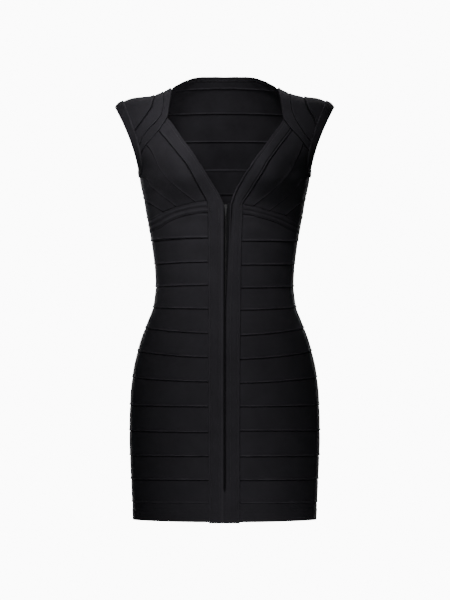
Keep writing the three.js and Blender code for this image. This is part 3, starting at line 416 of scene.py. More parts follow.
def creases(points):
    """How far the soft creases lift the cloth at some points."""
    total = np.zeros(points.shape[:-1])
    x, y, z = points[..., 0], points[..., 1], points[..., 2]
    for cx, cz, side, long, wide, tilt, height in CREASES:
        c, s = math.cos(math.radians(tilt)), math.sin(math.radians(tilt))
        along = (x - cx) * c + (z - cz) * s
        across = (z - cz) * c - (x - cx) * s
        bent = across + 0.12 * along * np.sin(along / long)
        there = np.clip(-side * (y - SIDE_Y) / 18, 0, 1)
        total += height * there * np.exp(-(along / long) ** 2 - (bent / wide) ** 2)
    return total


# What is kept of each strip: its piece, the points and ways of its outer face, and distances from its edges
BUILT = {}


def placed(name, data):
    """A new object in the scene."""
    made = bpy.data.objects.new(name, data)
    bpy.context.scene.collection.objects.link(made)
    return made


def mesh_from(name, points, faces, uvs=None, tone_and_painted_light=None):
    """A smooth mesh from millimetres, with the cloth's own coordinates in centimetres and painted light and
    shade.
    """
    data = bpy.data.meshes.new(name)
    data.from_pydata((points * MM).tolist(), [], faces)
    if uvs is not None:
        layer = data.uv_layers.new(name="cloth")
        loops = np.zeros(len(data.loops), np.int32)
        data.loops.foreach_get("vertex_index", loops)
        layer.data.foreach_set("uv", (uvs[loops] / 10).astype(np.float32).ravel())
    # The lip attribute holds painted highlights on proud edges and painted shade in grooves
    if tone_and_painted_light is not None:
        data.attributes.new("lip", "FLOAT", "POINT").data.foreach_set("value", tone_and_painted_light.astype(np.float32))
    data.polygons.foreach_set("use_smooth", [True] * len(data.polygons))
    data.update()
    return placed(name, data)


def grid_faces(rows, columns, offset, turned, loop):
    """Faces of a grid of points, the first row after the last one where it is a loop."""
    faces = []
    for i in range(rows if loop else rows - 1):
        a, b = offset + i * columns, offset + ((i + 1) % rows) * columns
        for j in range(columns - 1):
            face = (a + j, b + j, b + j + 1, a + j + 1)
            faces.append(face[::-1] if turned else face)
    return faces


def shell(name, outer, inner, uv, lip, inner_tone_and_painted_light, out_way, loop=False):
    """A closed shell between an outer and an inner grid of points."""
    rows, columns = outer.shape[:2]
    size = rows * columns
    points = np.concatenate([outer.reshape(-1, 3), inner.reshape(-1, 3)])
    k, m = rows // 2, columns // 2
    cross = np.cross(outer[k + 1, m] - outer[k, m], outer[k, m + 1] - outer[k, m])
    turned = np.dot(cross, out_way[k, m]) < 0
    faces = grid_faces(rows, columns, 0, turned, loop) + grid_faces(rows, columns, size, not turned, loop)
    # The rim joins both grids along pairs of neighbours on their edges
    rim, right = [], columns - 1
    for i in range(rows if loop else rows - 1):
        a, b = i * columns, ((i + 1) % rows) * columns
        rim += [(a, b), (b + right, a + right)]
    if not loop:
        last = (rows - 1) * columns
        rim += [pair for j in range(right) for pair in ((j + 1, j), (last + j, last + j + 1))]
    rim = [(p, size + p, size + q, q) for p, q in rim]
    faces += [face[::-1] if turned else face for face in rim]
    uvs = np.concatenate([uv.reshape(-1, 2)] * 2)
    tone_and_painted_light = np.concatenate([lip.ravel(), inner_tone_and_painted_light.ravel()])
    return mesh_from(f"{name}_cloth", points, faces, uvs, tone_and_painted_light)


def sew(name, chart, first, second, profile, spacing, tuck="", start=None, end=None, under=0, cloth=CLOTH,
        seed=0, seam_inside=False, fold=0):
    """A strip of cloth between four lines: first and second run along it, start and end across it, straight
    if they aren't given. tuck has the letters of the edges that run on under a neighbour, and fold is how far
    the cloth is turned in along the first line."""
    start = between(first[0], second[0]) if start is None else start
    end = between(first[-1], second[-1]) if end is None else end
    edges = [chart(p[:, 0], p[:, 1]) for p in (first, second, start, end)]
    lengths = [run_length(points, 0)[-1] for points in edges]
    middle = [points[len(points) // 2] for points in edges[:2]]
    width = max(lengths[2], lengths[3], float(np.linalg.norm(middle[0] - middle[1])))
    past = {key: TUCK if letter in tuck else FLUSH for key, letter in EDGES.items()}
    us = shares_between(max(lengths[:2]), spacing[0], past["start"], past["end"])
    vs = shares_between(width, spacing[1], past["top"], past["low"])
    lower, upper = at_shares(first, us)[:, None], at_shares(second, us)[:, None]
    near, far = at_shares(start, vs)[None], at_shares(end, vs)[None]
    s, t = us[:, None, None], vs[None, :, None]
    corners = (first[0] * (1 - s) + first[-1] * s) * (1 - t) + (second[0] * (1 - s) + second[-1] * s) * t
    grid = lower * (1 - t) + upper * t + near * (1 - s) + far * s - corners
    a, b = grid[..., 0], grid[..., 1]
    base, way = chart(a, b), outward(chart, a, b)
    run_u, run_v = run_length(base, 0), run_length(base, 1)
    local = run_v[:, -1:] / (width + past["top"] + past["low"])
    e = {
        "top": run_v - past["top"] * local, "low": run_v[:, -1:] - run_v - past["low"] * local,
        "start": run_u - past["start"], "end": run_u[-1:] - run_u - past["end"],
        "v": np.clip(np.broadcast_to(vs[None], a.shape), 0, 1),
        "p": base, "uneven": wobble(run_u, seed), "width": run_v[:, -1:],
    }
    lift, inner_lift, lip = profile(e)
    # A tucked edge lies a thickness lower, with its tip pressed up against the strip above
    sunk, pressed = 0, 0 if seam_inside else 0.9
    for key, letter in EDGES.items():
        if letter in tuck:
            sunk = sunk + (cloth + 0.25) * step(-e[key], 0.4) - pressed * step(-e[key] - 1.3, 0.3)
    rim = np.minimum(np.minimum(run_v, run_v[:, -1:] - run_v), np.minimum(run_u, run_u[-1:] - run_u))
    folds = creases(base) if under >= 0 else 0 * a
    outer = base + way * (under + lift + folds - sunk - roll(rim))[..., None]
    inside = base + way * (under - cloth - inner_lift + folds - sunk + 0.4 * roll(rim))[..., None]
    # Painted shade: the inside is coloured darker down from the neck, where less light reaches it, and
    # painted highlight and shade lines show its seams where they are on the reverse
    inner_tone_and_painted_light = INSIDE_TONE - 0.55 * step(-base[..., 2] - 80, 60)
    if seam_inside:
        painted_seam_lines = 0.9 * bump(e["low"], 1.6, 1.0) - 0.9 * bump(e["top"], 0.6, 1.0)
        inner_tone_and_painted_light = inner_tone_and_painted_light + (painted_seam_lines - 0.9 * bump(e["low"], -0.2, 0.6))
    # Painted highlight and painted shade along the turned-in fold of the inner face
    if fold:
        inner_tone_and_painted_light = inner_tone_and_painted_light + 0.8 * bump(e["top"], fold - 0.9, 0.8) - 0.9 * bump(e["top"], fold + 0.4, 0.7)
        inside = inside - way * (0.5 * step(fold - e["top"], 0.5))[..., None]
    piece = shell(name, outer, inside, np.stack([run_u, run_v], -1), lip + 0 * a, inner_tone_and_painted_light, way)
    BUILT[name] = {"piece": piece, "outer": outer, "way": way, "e": e}


def step(value, width):
    """Smooth change from 0 to 1 as a value passes zero."""
    return 0.5 + 0.5 * np.tanh(value / width)


# Profiles: from the distances to a strip's edges, how far its outer face stands out, how far its inner face
# stands in, and how much paler (above 0, painted highlight) or darker (painted shade) its outer face is
def strip_profile(lip=1.0, tuck=0.5, pillow=0.4, end_tuck=0.3, pale=1.0, end_shades=(0.6, 0.6)):
    """A knitted strip: its lower edge stands proud over the next strip, its upper edge is tucked under.
    end_shades says how dark its start and its end are."""
    def profile(e):
        low, top = edge_bump(e, "low"), edge_bump(e, "top")
        fade = np.clip(np.minimum(e["start"], e["end"]) / 5, 0, 1)
        slim = np.clip(e["width"] / 14, 0.15, 1)
        edge = lip * (low(1.7, 1.5) * (1 + 0.22 * e["uneven"]) + 0.4 * low(0, 6 * slim))
        tucked = tuck * top(0, 2.1) * (1 + 0.2 * e["uneven"]) * (0.2 + 0.8 * fade)
        ends = end_tuck * bump(np.minimum(e["start"], e["end"]), 0, 2.4)
        lift = edge * (0.35 + 0.65 * fade) - tucked - ends + pillow * slim * np.sin(math.pi * e["v"])
        # Painted shade: the seam grooves along the edges and at the start and end are coloured darker
        groove = top(0.5, 1.1) + low(-0.1, 0.5)
        groove = groove + end_shades[0] * bump(e["start"], 0.5, 1) + end_shades[1] * bump(e["end"], 0.5, 1)
        # Painted highlight: a pale line where the proud lower edge catches the light, scaled by pale
        painted_edge_highlight = pale * low(1.6, 1.0) * (0.7 + 0.3 * e["uneven"]) * fade
        return lift, 0 * lift, painted_edge_highlight - 1.1 * np.minimum(groove, 1)
    return profile


def mirrored_profile(**sizes):
    """The same strip with its proud edge along its first line."""
    plain = strip_profile(**sizes)

    def profile(e):
        return plain({**e, "low": e["top"], "top": e["low"]})
    return profile


def flat_profile(e):
    none = 0 * e["top"]
    return none, none, none


def front_band_profile(e):
    """A band that edges the V of the neck and then the zip, with a turned edge beside the zip."""
    low, top = edge_bump(e, "low"), edge_bump(e, "top")
    z = e["p"][..., 2]
    beside_zip = step(SLIT["top"] - z, 9)
    vee = 1 - beside_zip
    right = step(e["p"][..., 0], 4)
    low_vee = right * step(-z - 120, 22) * step(z + 250, 30)
    start = np.clip(e["start"] / 12, 0, 1)
    fold = 0.45 * step(9.4 - e["top"], 0.7) * beside_zip
    stitched = -0.4 * top(FOLD_ROW, 0.7) * beside_zip
    ridge = 0.75 * top(0.47 * e["width"], 4.5) * vee
    neck_fold = low_vee * (0.7 * top(1.6, 1.3) - 1.1 * top(4.6, 1.3))
    edge = 0.9 * low(1.7, 1.4) * (1 + 0.2 * e["uneven"]) + 0.35 * low(0, 6)
    double = -0.7 * low(DOUBLE_ROW, 0.9) * (1 - 0.75 * vee * (1 - right))
    hem = 0.35 * step(20 - e["end"], 1.5) - 0.3 * bump(e["end"], BAND_HEM_ROW, 1)
    lift = fold + stitched + neck_fold + ridge + (edge + double) * start + hem
    # Painted shade: the slit beside the zip coloured black, and dark lines in the seam grooves and the neck
    # fold's trough
    slit = beside_zip * step(z - SLIT["end"], 2) * top(0, 1.5)
    dark = np.maximum(vee, 0.45 * right) * low(0.1, 0.9) + vee * right * low(4.5, 0.8)
    dark = dark + 1.1 * low_vee * top(4.4, 1.1) + slit
    # Painted highlights: pale lines on the proud edge, the fold beside the zip, the neck fold's crest and the
    # left turned edge
    pale = 0.3 * low(1.6, 1.0) * start * (1 - 0.6 * vee) + 0.12 * top(8.8, 0.8) * beside_zip
    pale = pale + 0.5 * low_vee * top(1.4, 1.2)
    pale = pale + 0.4 * beside_zip * (1 - right) * top(4.4, 1.5)
    return lift, 0.9 * top(0, 5) * vee, pale - 1.1 * np.minimum(dark, 1)


def underbust_profile(e):
    """Two ribs with a groove between them, plainer on the right side."""
    v, slim = e["v"], np.clip(e["width"] / 14, 0.2, 1)
    left = step(-e["p"][..., 0], 4)
    ribs = (0.55 + 0.5 * left) * slim * np.sin(2 * math.pi * v) ** 2 * (1 + 0.15 * e["uneven"])
    middle = -0.45 * bump(e["low"] - e["top"], 0, 1.6)
    ends = -0.5 * bump(np.minimum(e["start"], e["end"]), 0, 2.2)
    # Painted highlight on the rib crests, stronger on the left where the light falls, and painted shade in
    # the groove between them
    tone = (0.1 + 0.3 * left) * slim * np.sin(2 * math.pi * v) ** 8 - 0.5 * bump(e["low"] - e["top"], 0, 1.2)
    return ribs + middle + ends, 0.5 * bump(e["top"], 2, 2), tone


def with_groove(plain, places):
    """A profile with one more shallow seam along a line of places in the front elevation."""
    on = np.array(places, float)

    def profile(e):
        lift, inner, lip = plain(e)
        x, z = e["p"][..., 0], e["p"][..., 2]
        off = z - np.interp(x, on[:, 0], on[:, 1])
        there = step(x - on[0, 0], 1.5) * step(on[-1, 0] - x, 5)
        lift = lift + there * (0.55 * bump(off, 1.7, 1.1) - 0.6 * bump(off, 0, 0.8))
        # A painted highlight along the extra seam's raised edge
        return lift, inner, lip + 0.7 * there * bump(off, 1.3, 0.8)
    return profile


def hem_profile(e):
    """The lowest body band, turned up at the hem."""
    low = edge_bump(e, "low")
    lift = strip_profile(lip=0)(e)[0]
    turned = step(21 - e["low"], 1.4)
    soft = 0.5 * turned - 0.35 * low(HEM_ROWS[1], 1.1) + 0.3 * low(2.5, 3)
    # A painted highlight along the turned-up bottom edge
    return lift + soft * (1 + 0.15 * e["uneven"]), 1.2 * turned, 0.35 * low(1.5, 1.5)


def bodice_side(plan):
    """Front and shoulder pieces of one side."""
    side, word = plan["side"], plan["word"]

    def drawn(key, place=skin_place):
        rows = np.array(plan[key], float)
        return place(True, side * rows[:, 0], rows[:, 1])

    def side_line(z):
        return np.array([side * (math.pi / 2 - SIDE_GAP), (z - UNDERARM) / SPAN])

    chest_line = np.vstack([drawn("chest"), edge_place(True, side, plan["chest_end"], False)])
    last = len(plan["chest"])

    def chest(start, end):
        return spline(chest_line, np.linspace(start, end, CHEST_STEPS * FINE + 1) / last)

    # Front band: down the V, then beside the zip by heights that follow the seams
    v_outer = line(drawn("v_outer"), V_STEPS)
    front = 0 if side < 0 else 2
    seam_heights = [plan["bust_low"][0][1]] + [row[front] for row in BODY_SEAMS[:-1]]
    foot = plan["band_outer"][-1][1]
    bust_middle = (plan["bust_top"][0][1] + plan["bust_low"][0][1]) / 2
    inner_z = [plan["band_inner"][0][1], ZIP["slider_low"] + 0.5] + seam_heights + [foot]
    outer_z = [plan["bust_top"][0][1], bust_middle] + seam_heights + [foot]
    fine_z = np.linspace(0, len(inner_z) - 1, (len(inner_z) - 1) * FINE + 1)
    beside_zip = []
    for key, heights in (("band_inner", inner_z), ("band_outer", outer_z)):
        z = np.interp(fine_z, np.arange(len(heights)), heights)
        x = look_up(plan[key], 0, z, key=1)
        if key == "band_inner":
            x = x + (0.02 - x) * step(SLIT["closed"] - z, 0.8)
        beside_zip.append(skin_place(True, side * x, z))
    inner, outer = joined(line(drawn("v_inner"), V_STEPS), beside_zip[0]), joined(v_outer, beside_zip[1])
    sew(f"front_band_{word}", skin, inner, outer, front_band_profile, (3, 1.4), "s", chest(0, 2), seed=side)

    # Cups
    seam_one = line(drawn("cup_one"), V_STEPS)
    seam_two, seam_three = (line(np.vstack([side_line(plan[f"{key}_side"]), drawn(key)]), CUP_STEPS)
                            for key in ("cup_two", "cup_three"))
    arm_line = [edge_place(True, side, z, False) for z in (plan["chest_end"], -133, -137.5, UNDERARM + 0.5)]
    outside = joined(*[between(a, b) for a, b in zip(arm_line, arm_line[1:] + [seam_two[0]])], seam_two)
    bust = drawn("bust_top")
    to_side = np.vstack([bust[4:], side_line(plan["bust_top_side"])])
    bust_parts = [line(bust[k:k + 2], CHEST_STEPS) for k in range(3)]
    bust_parts += [between(bust[3], bust[4]), line(to_side, CUP_STEPS)]
    cup, low_cup = strip_profile(lip=0.95, tuck=0.8, pillow=0.7, pale=0.5), strip_profile(lip=0, pillow=0.3)
    strips = [
        (v_outer, seam_one, cup, "tse", chest(2, 4)), (seam_one, outside, cup, "tse", chest(4, last)),
        (seam_two, seam_three, cup, "te", None), (seam_three, bust_parts[4][::-1], low_cup, "tle", None)]
    for k, (upper, lower, look, tuck, start) in enumerate(strips):
        sew(f"cup_strip_{k + 1}_{word}", skin, upper, lower, look, (4, 1.8), tuck, start, bust_parts[k],
            seed=2 + 3 * k + side)

    # Underbust band and the short band below it
    top = joined(*bust_parts)
    steps = (len(top) - 1) // FINE
    low = line(np.vstack([drawn("bust_low"), side_line(plan["bust_low_side"])]), steps)
    seam_z = BODY_SEAMS[0][front]
    start = skin_place(True, side * look_up(plan["band_outer"], 0, seam_z, key=1), seam_z)
    end = side_line(BODY_SEAMS[0][1])
    t = np.linspace(0, 1, len(low))
    first_seam = np.stack([start[0] * (1 - t) + end[0] * t, start[1] * (1 - t * t) + end[1] * t * t], -1)
    sew(f"underbust_band_{word}", skin, top, low, underbust_profile, (4, 1.2), "s", seed=14 + side)
    look = with_groove(strip_profile(), plan["sliver"])
    sew(f"rib_band_{word}", skin, low, first_seam, look, (3, 1.2), "ts", seed=17 + side)

    # Shoulder
    chest_over = [over_from_skin(chest(a, b)) for a, b in ((0, 2), (2, 4), (4, last))]
    neck_edge = line(np.vstack([seam_place(side * NECK_HALF), drawn("neck", over_place)]), CUP_STEPS)
    neck_inner = joined(neck_edge, *chest_over)

    def strip_line(key):
        rows = [seam_place(side * plan[key][0][0]), drawn(key, over_place),
                edge_place(True, side, plan[f"{key}_end"], True)]
        return line(np.vstack(rows), SHOULDER_STEPS)

    def along_arm(from_key, to_key):
        return edge_place(True, side, np.linspace(plan[from_key], plan[to_key], 2 * FINE + 1), True)

    strip_b, strip_c = strip_line("strip_b"), strip_line("strip_c")
    look = mirrored_profile(lip=0.8, tuck=0.7, pillow=0.5, pale=0.25)
    sew(f"neck_strip_{word}", over, neck_inner, strip_b, look, (4, 1.6), "l",
        end=along_arm("chest_end", "strip_b_end"), seed=20 + side)
    under_binding = along_arm("strip_b_end", "strip_c_end") * [0.993, 1]
    sew(f"shoulder_strip_{word}", over, strip_b, strip_c, look, (4, 1.6), "l", end=under_binding,
        seed=23 + side)
    cap_end = edge_place(True, side, plan["strip_c_end"] + 4, True)[1]
    turn = np.linspace(SHOULDER_SEAM, cap_end, SHOULDER_STEPS * FINE + 1)
    cap_edge = np.stack([side * edge_u(turn >= 0, np.cos(turn)), turn], -1)
    sew(f"cap_{word}", over, strip_c, cap_edge, look, (4, 1.8), seed=26 + side)


def armhole_band(plan):
    """The binding sewn over an armhole's edge, wrapped round it to the inside."""
    side, around = plan["side"], BINDING["around"]
    turn = -math.pi + (np.arange(around) + 0.5) * 2 * math.pi / around
    w = np.array([0, 0.02, 0.05, 0.1, 0.17, 0.26, 0.38, 0.52, 0.64, 0.74, 0.82, 0.88, 0.93, 0.97, 1.0])

    def chart(a, b):
        front, t = a >= 0, np.abs(a)
        s = (1 - np.cos(t)) / 2
        rising = np.maximum(np.sin(np.minimum(t, math.pi / 2)), 0) ** BINDING["bend"]
        inward = np.where(t < math.pi / 2, rising, 1)
        drop = BINDING["drop"] * ((1 + np.cos(t)) / 2) ** BINDING["bend"]
        inner_h = s - drop
        outer_share = arm_share(front, s)
        inner_share = rounded(arm_round(front, np.maximum(inner_h, 0)) * (1 - BINDING["reach"] * inward))
        h = s + (inner_h - s) * b
        share = np.clip(outer_share + (inner_share - outer_share) * b, 1e-6, 1)
        from_centre = side * np.arccos(share ** (ROUND / 2))
        low = skin(np.where(front, from_centre, math.pi - from_centre), h)
        u = side * rounded(share) / np.maximum(arm_round(front, np.maximum(h, 0)), 1e-9)
        high = over(u, np.where(front, 1, -1) * np.arccos(np.clip(h, -1, 1)))
        return np.where((h <= 0.97)[..., None], low, high)

    a, b = np.meshgrid(turn, w, indexing="ij")
    base, way = chart(a, b), outward(chart, a, b)
    run_u, run_v = run_length(base, 0), run_length(base, 1)
    far = run_v[:, -1:] - run_v
    uneven = wobble(run_u, 31 + side)
    crown = 0.5 * np.sin(math.pi * np.clip(b, 0, 1)) + 0.35 * bump(far, 1.3, 1.1) * (1 + 0.2 * uneven)
    groove = -0.4 * bump(far, ARMHOLE_ROW, 0.6)
    proud = BINDING["proud"] + crown + groove - 0.9 * roll(run_v, 1.1) - 0.8 * roll(far, 0.9)
    outer = base + way * proud[..., None]
    wrap = step(0.3 - b, 0.09)
    inner = base + way * (BINDING["clear"] - BINDING["wrap"] * wrap + 1.2 * roll(run_v, 1.2))[..., None]
    name = f"armhole_band_{plan['word']}"
    # A painted highlight along the binding's rolled outer edge
    lip = bump(far, 1.1, 0.9)
    uv = np.stack([run_u, run_v], -1)
    piece = shell(name, outer, inner, uv, lip, 0 * lip + INSIDE_TONE, way, loop=True)
    BUILT[name] = {"piece": piece, "outer": outer, "way": way, "e": {"top": run_v, "low": far}}


def body_bands():
    """The twelve strips that run from the left front band round the back to the right one."""
    seams = []
    for left, side, right in BODY_SEAMS:
        start = skin_place(True, look_up(RIGHT["band_outer"], 0, right, key=1), right)[0]
        end = 2 * math.pi + skin_place(True, -look_up(LEFT["band_outer"], 0, left, key=1), left)[0]
        angle = np.linspace(start, end, AROUND * FINE + 1)
        near_front = np.maximum(0, np.cos(angle)) ** 2
        z = side + (np.where(angle < math.pi, right, left) - side) * near_front
        seams.append(np.stack([angle, (z - UNDERARM) / SPAN], -1))
    last = len(seams) - 1
    for k, (upper, lower) in enumerate(zip(seams, seams[1:]), 1):
        look = hem_profile if k == last else strip_profile(end_shades=(0.6, 0.1))
        sew(f"body_band_{k}", skin, upper, lower, look, (5, 3), "tse", seed=k * 3.7)


def back_pieces():
    """Neck band, yoke and five strips of the back."""
    def half_line(table, end):
        rows = np.array(table, float)
        return line(np.vstack([over_place(False, rows[:, 0], rows[:, 1]), end]), BACK_STEPS)

    def both(left, right):
        return np.concatenate([(left * [-1, 1])[::-1], right[1:]])

    neck = half_line(BACK_NECK, seam_place(NECK_HALF))
    neck_low = both(*[half_line(BACK_NECK_LOW, seam_place(plan["strip_b"][0][0])) for plan in (LEFT, RIGHT)])
    look = strip_profile(end_tuck=0, tuck=0)
    sew("back_neck_band", over, both(neck, neck), neck_low, look, (4, 1.2), seed=33, seam_inside=True, fold=9)

    tip = float(edge_u(False, math.cos(SHOULDER_SEAM)))

    def slope(start, plan, side):
        cap = seam_place(side * plan["strip_c"][0][0])
        return joined(between(start, cap, 2), between(cap, [side * tip, SHOULDER_SEAM], CAP_STEPS))

    yoke_top = joined(slope(neck_low[0], LEFT, -1)[::-1], neck_low, slope(neck_low[-1], RIGHT, 1))
    count = len(yoke_top) - 1

    def seam_z(x, z):
        return z - BACK_SEAM_ARCH * (z - UNDERARM) / (BACK_SEAMS[0] - UNDERARM) * (x / TIP) ** 2

    def seam(z, is_over):
        end_z = seam_z(BACK_END_X, z)
        end_x = edge_place(False, 1, end_z, True)[0] * arm_x(place_of(BACK_END_X, end_z)[1])
        crowd = BACK_CROWD * math.pi / 2
        x = end_x * np.sin(np.linspace(-1, 1, count + 1) * crowd) / math.sin(crowd)
        places = (over_place if is_over else skin_place)(False, x, seam_z(x, z))
        places[0], places[-1] = edge_place(False, -1, end_z, is_over), edge_place(False, 1, end_z, is_over)
        return places

    def strip(name, chart, upper, lower, seed, tuck="t", ends=(None, None)):
        sew(name, chart, upper, lower, strip_profile(end_tuck=0.2), (4, 2.4), tuck, *ends, seed=seed,
            seam_inside=True)

    yoke_low = seam(BACK_SEAMS[0], True)
    turn = np.linspace(SHOULDER_SEAM, yoke_low[0][1], 2 * FINE + 1)
    ends = [np.stack([sign * edge_u(False, np.cos(turn)), turn], -1) for sign in (-1, 1)]
    strip("back_yoke", over, yoke_top, yoke_low, 36, ends=ends)

    arm_seams = [BACK_SEAMS[0], BACK_SEAMS[1], UNDERARM + BACK_ARM_GAP]
    for k, (high, low) in enumerate(zip(arm_seams, arm_seams[1:]), 1):
        z = np.linspace(seam_z(BACK_END_X, high), seam_z(BACK_END_X, low), 2 * FINE + 1)
        ends = [edge_place(False, sign, z, False) for sign in (-1, 1)]
        strip(f"back_band_{k}", skin, seam(high, False), seam(low, False), 38 + k, ends=ends)

    angle = np.linspace(3 * math.pi / 2 - SIDE_GAP, math.pi / 2 + SIDE_GAP, count + 1)
    levels = BACK_SEAMS[2:] + [BODY_SEAMS[0][1]]
    for k, (high, low) in enumerate(zip(levels, levels[1:]), 3):
        upper, lower = [np.stack([angle, 0 * angle + (z - UNDERARM) / SPAN], -1) for z in (high, low)]
        # The top edge of band 3 isn't tucked, because it would show in the armholes
        strip(f"back_band_{k}", skin, upper, lower, 38 + k, "" if k == 3 else "t")


def zip_tapes():
    """Both tapes, which part round the slider."""
    z = ZIP["top"] + (ZIP["low"] - ZIP["top"]) * np.linspace(0, 1, 12 * FINE + 1) ** 1.4
    clear = 1.4 + 1.4 * step(z - ZIP["slider_low"] + 1, 0.8)
    for word, side in (("left", -1), ("right", 1)):
        inside, outside = (skin_place(True, ZIP["x"] + side * x, z) for x in (clear, ZIP["tape"] + 0 * z))
        sew(f"zip_tape_{word}", skin, inside, outside, flat_profile, (5, 1.5), under=-ZIP["behind"],
            cloth=ZIP["thick"])


for one_side in (LEFT, RIGHT):
    bodice_side(one_side)
    armhole_band(one_side)
body_bands()
back_pieces()
zip_tapes()


# Thread and zip teeth: small round-ended bars from one point to another
def bars(name, starts, ends, ups, radius, arch):
    sides = 6
    along = ends - starts
    way = along / np.linalg.norm(along, axis=1, keepdims=True)
    across = np.cross(way, ups)
    across /= np.linalg.norm(across, axis=1, keepdims=True)
    up = np.cross(across, way)
    stations = np.array([0, 0.12, 0.5, 0.88, 1])
    thick = np.array([0.45, 0.95, 1, 0.95, 0.45]) * radius
    height = np.array([-1, 0.35, 1, 0.35, -1]) * arch
    turn = 2 * math.pi * np.arange(sides) / sides
    ring = (np.cos(turn)[:, None, None] * across[None] + np.sin(turn)[:, None, None] * up[None])
    points = [starts + along * t + up * h + ring * r for t, h, r in zip(stations, height, thick)]
    points = np.stack(points, 0).transpose(2, 0, 1, 3)
    size = len(stations) * sides
    faces = []
    for base in range(0, len(starts) * size, size):
        for a in range(base, base + size - sides, sides):
            b = a + sides
            faces += [(a + i, a + (i + 1) % sides, b + (i + 1) % sides, b + i) for i in range(sides)]
        faces.append(tuple(range(base, base + sides))[::-1])
        faces.append(tuple(range(base + size - sides, base + size)))
    return mesh_from(name, points.reshape(-1, 3), faces)


def row_at(name, key, distance, above=-math.inf, below=math.inf):
    """Points and outward ways on a piece's outer face, at a distance from an edge and between two heights."""
    built = BUILT[name]
    run, outer, way = built["e"][key], built["outer"], built["way"]
    if key == "end":
        run, outer, way = run.T, outer.transpose(1, 0, 2), way.transpose(1, 0, 2)
    rows = []
    for grid in (outer, way):
        rows.append(np.array([[np.interp(distance, at[order], line_of[order, c]) for c in range(3)]
                              for at, line_of, order in zip(run, grid, np.argsort(run, axis=1))]))
    points, ways = rows
    kept = (points[:, 2] > above) & (points[:, 2] < below)
    return points[kept], ways[kept]


def stitches(name, *rows):
    """Thread along lines of points on the cloth, a bar for each stitch that shows."""
    starts, ends, ups = [], [], []
    for points, ways in rows:
        run = run_length(points, 0)
        at = np.arange(1.0, run[-1] - STITCH["long"] - 1, STITCH["pitch"])
        for offset, into, values in ((0, starts, points), (STITCH["long"], ends, points),
                                     (STITCH["long"] / 2, ups, ways)):
            into.append(np.stack([np.interp(at + offset, run, values[:, c]) for c in range(3)], -1))
    laid = [np.concatenate(part) for part in (starts, ends, ups)]
    return bars(name, *laid, STITCH["radius"], STITCH["arch"])


def sewing():
    made = []
    for word in ("left", "right"):
        band = f"front_band_{word}"
        made.append(stitches(
            f"front_band_thread_{word}", row_at(band, "top", FOLD_ROW, below=-212),
            row_at(band, "low", DOUBLE_ROW, below=-205), row_at(band, "top", NECK_ROW, above=-198),
            row_at(band, "end", BAND_HEM_ROW)))
        ring = row_at(f"armhole_band_{word}", "low", ARMHOLE_ROW)
        made.append(stitches(f"armhole_thread_{word}", [np.concatenate([row, row[:1]]) for row in ring]))
    made.append(stitches("hem_thread", *[row_at("body_band_12", "low", distance) for distance in HEM_ROWS]))
    made.append(stitches("neck_thread", row_at("back_neck_band", "top", NECK_ROW)))
    return made


def zip_teeth():
    """Coil teeth in place of the chain: one bar of the coil from each tape, side by side in turn."""
    z = np.arange(ZIP["slider_low"] - 0.6, ZIP["low"] + COIL["foot"], -COIL["pitch"])
    place = skin_place(True, 0 * z + ZIP["x"], z)
    ways = outward(skin, place[:, 0], place[:, 1])
    centre = skin(place[:, 0], place[:, 1]) - ways * COIL["behind"]
    side = np.where(np.arange(len(z)) % 2 == 0, -1.0, 1.0)[:, None] * np.array([1.0, 0, 0])
    starts, ends = centre - side * COIL["short"], centre + side * COIL["long"]
    return bars("zip_teeth", starts, ends, ways, COIL["radius"], COIL["arch"])


# Materials
def material(name):
    made = bpy.data.materials.new(name)
    made.use_nodes = True
    return made, made.node_tree, made.node_tree.nodes["Principled BSDF"]


def maths(tree, operation, *values):
    node = tree.nodes.new("ShaderNodeMath")
    node.operation = operation
    for socket, value in zip(node.inputs, values):
        if isinstance(value, (int, float)):
            socket.default_value = value
        else:
            tree.links.new(value, socket)
    return node.outputs[0]


def total(tree, *terms):
    """The sum of shader values, where a pair is a value and its share."""
    terms = [maths(tree, "MULTIPLY", *term) if isinstance(term, tuple) else term for term in terms]
    result = terms[0]
    for term in terms[1:]:
        result = maths(tree, "ADD", result, term)
    return result


def noise(tree, scale, detail):
    place, grain = tree.nodes.new("ShaderNodeTexCoord"), tree.nodes.new("ShaderNodeTexNoise")
    grain.inputs["Scale"].default_value = scale
    grain.inputs["Detail"].default_value = detail
    tree.links.new(place.outputs["Object"], grain.inputs["Vector"])
    return grain.outputs["Fac"]


def relief(tree, shader, height, depth, strength=1.0):
    raised = tree.nodes.new("ShaderNodeBump")
    raised.inputs["Distance"].default_value = depth
    raised.inputs["Strength"].default_value = strength
    tree.links.new(height, raised.inputs["Height"])
    tree.links.new(raised.outputs[0], shader.inputs["Normal"])


def coloured(tree, shader, tone, dark, light):
    mix = tree.nodes.new("ShaderNodeMix")
    mix.data_type = "RGBA"
    mix.inputs["A"].default_value = (*dark, 1)
    mix.inputs["B"].default_value = (*light, 1)
    tree.links.new(tone, mix.inputs["Factor"])
    tree.links.new(mix.outputs["Result"], shader.inputs["Base Color"])


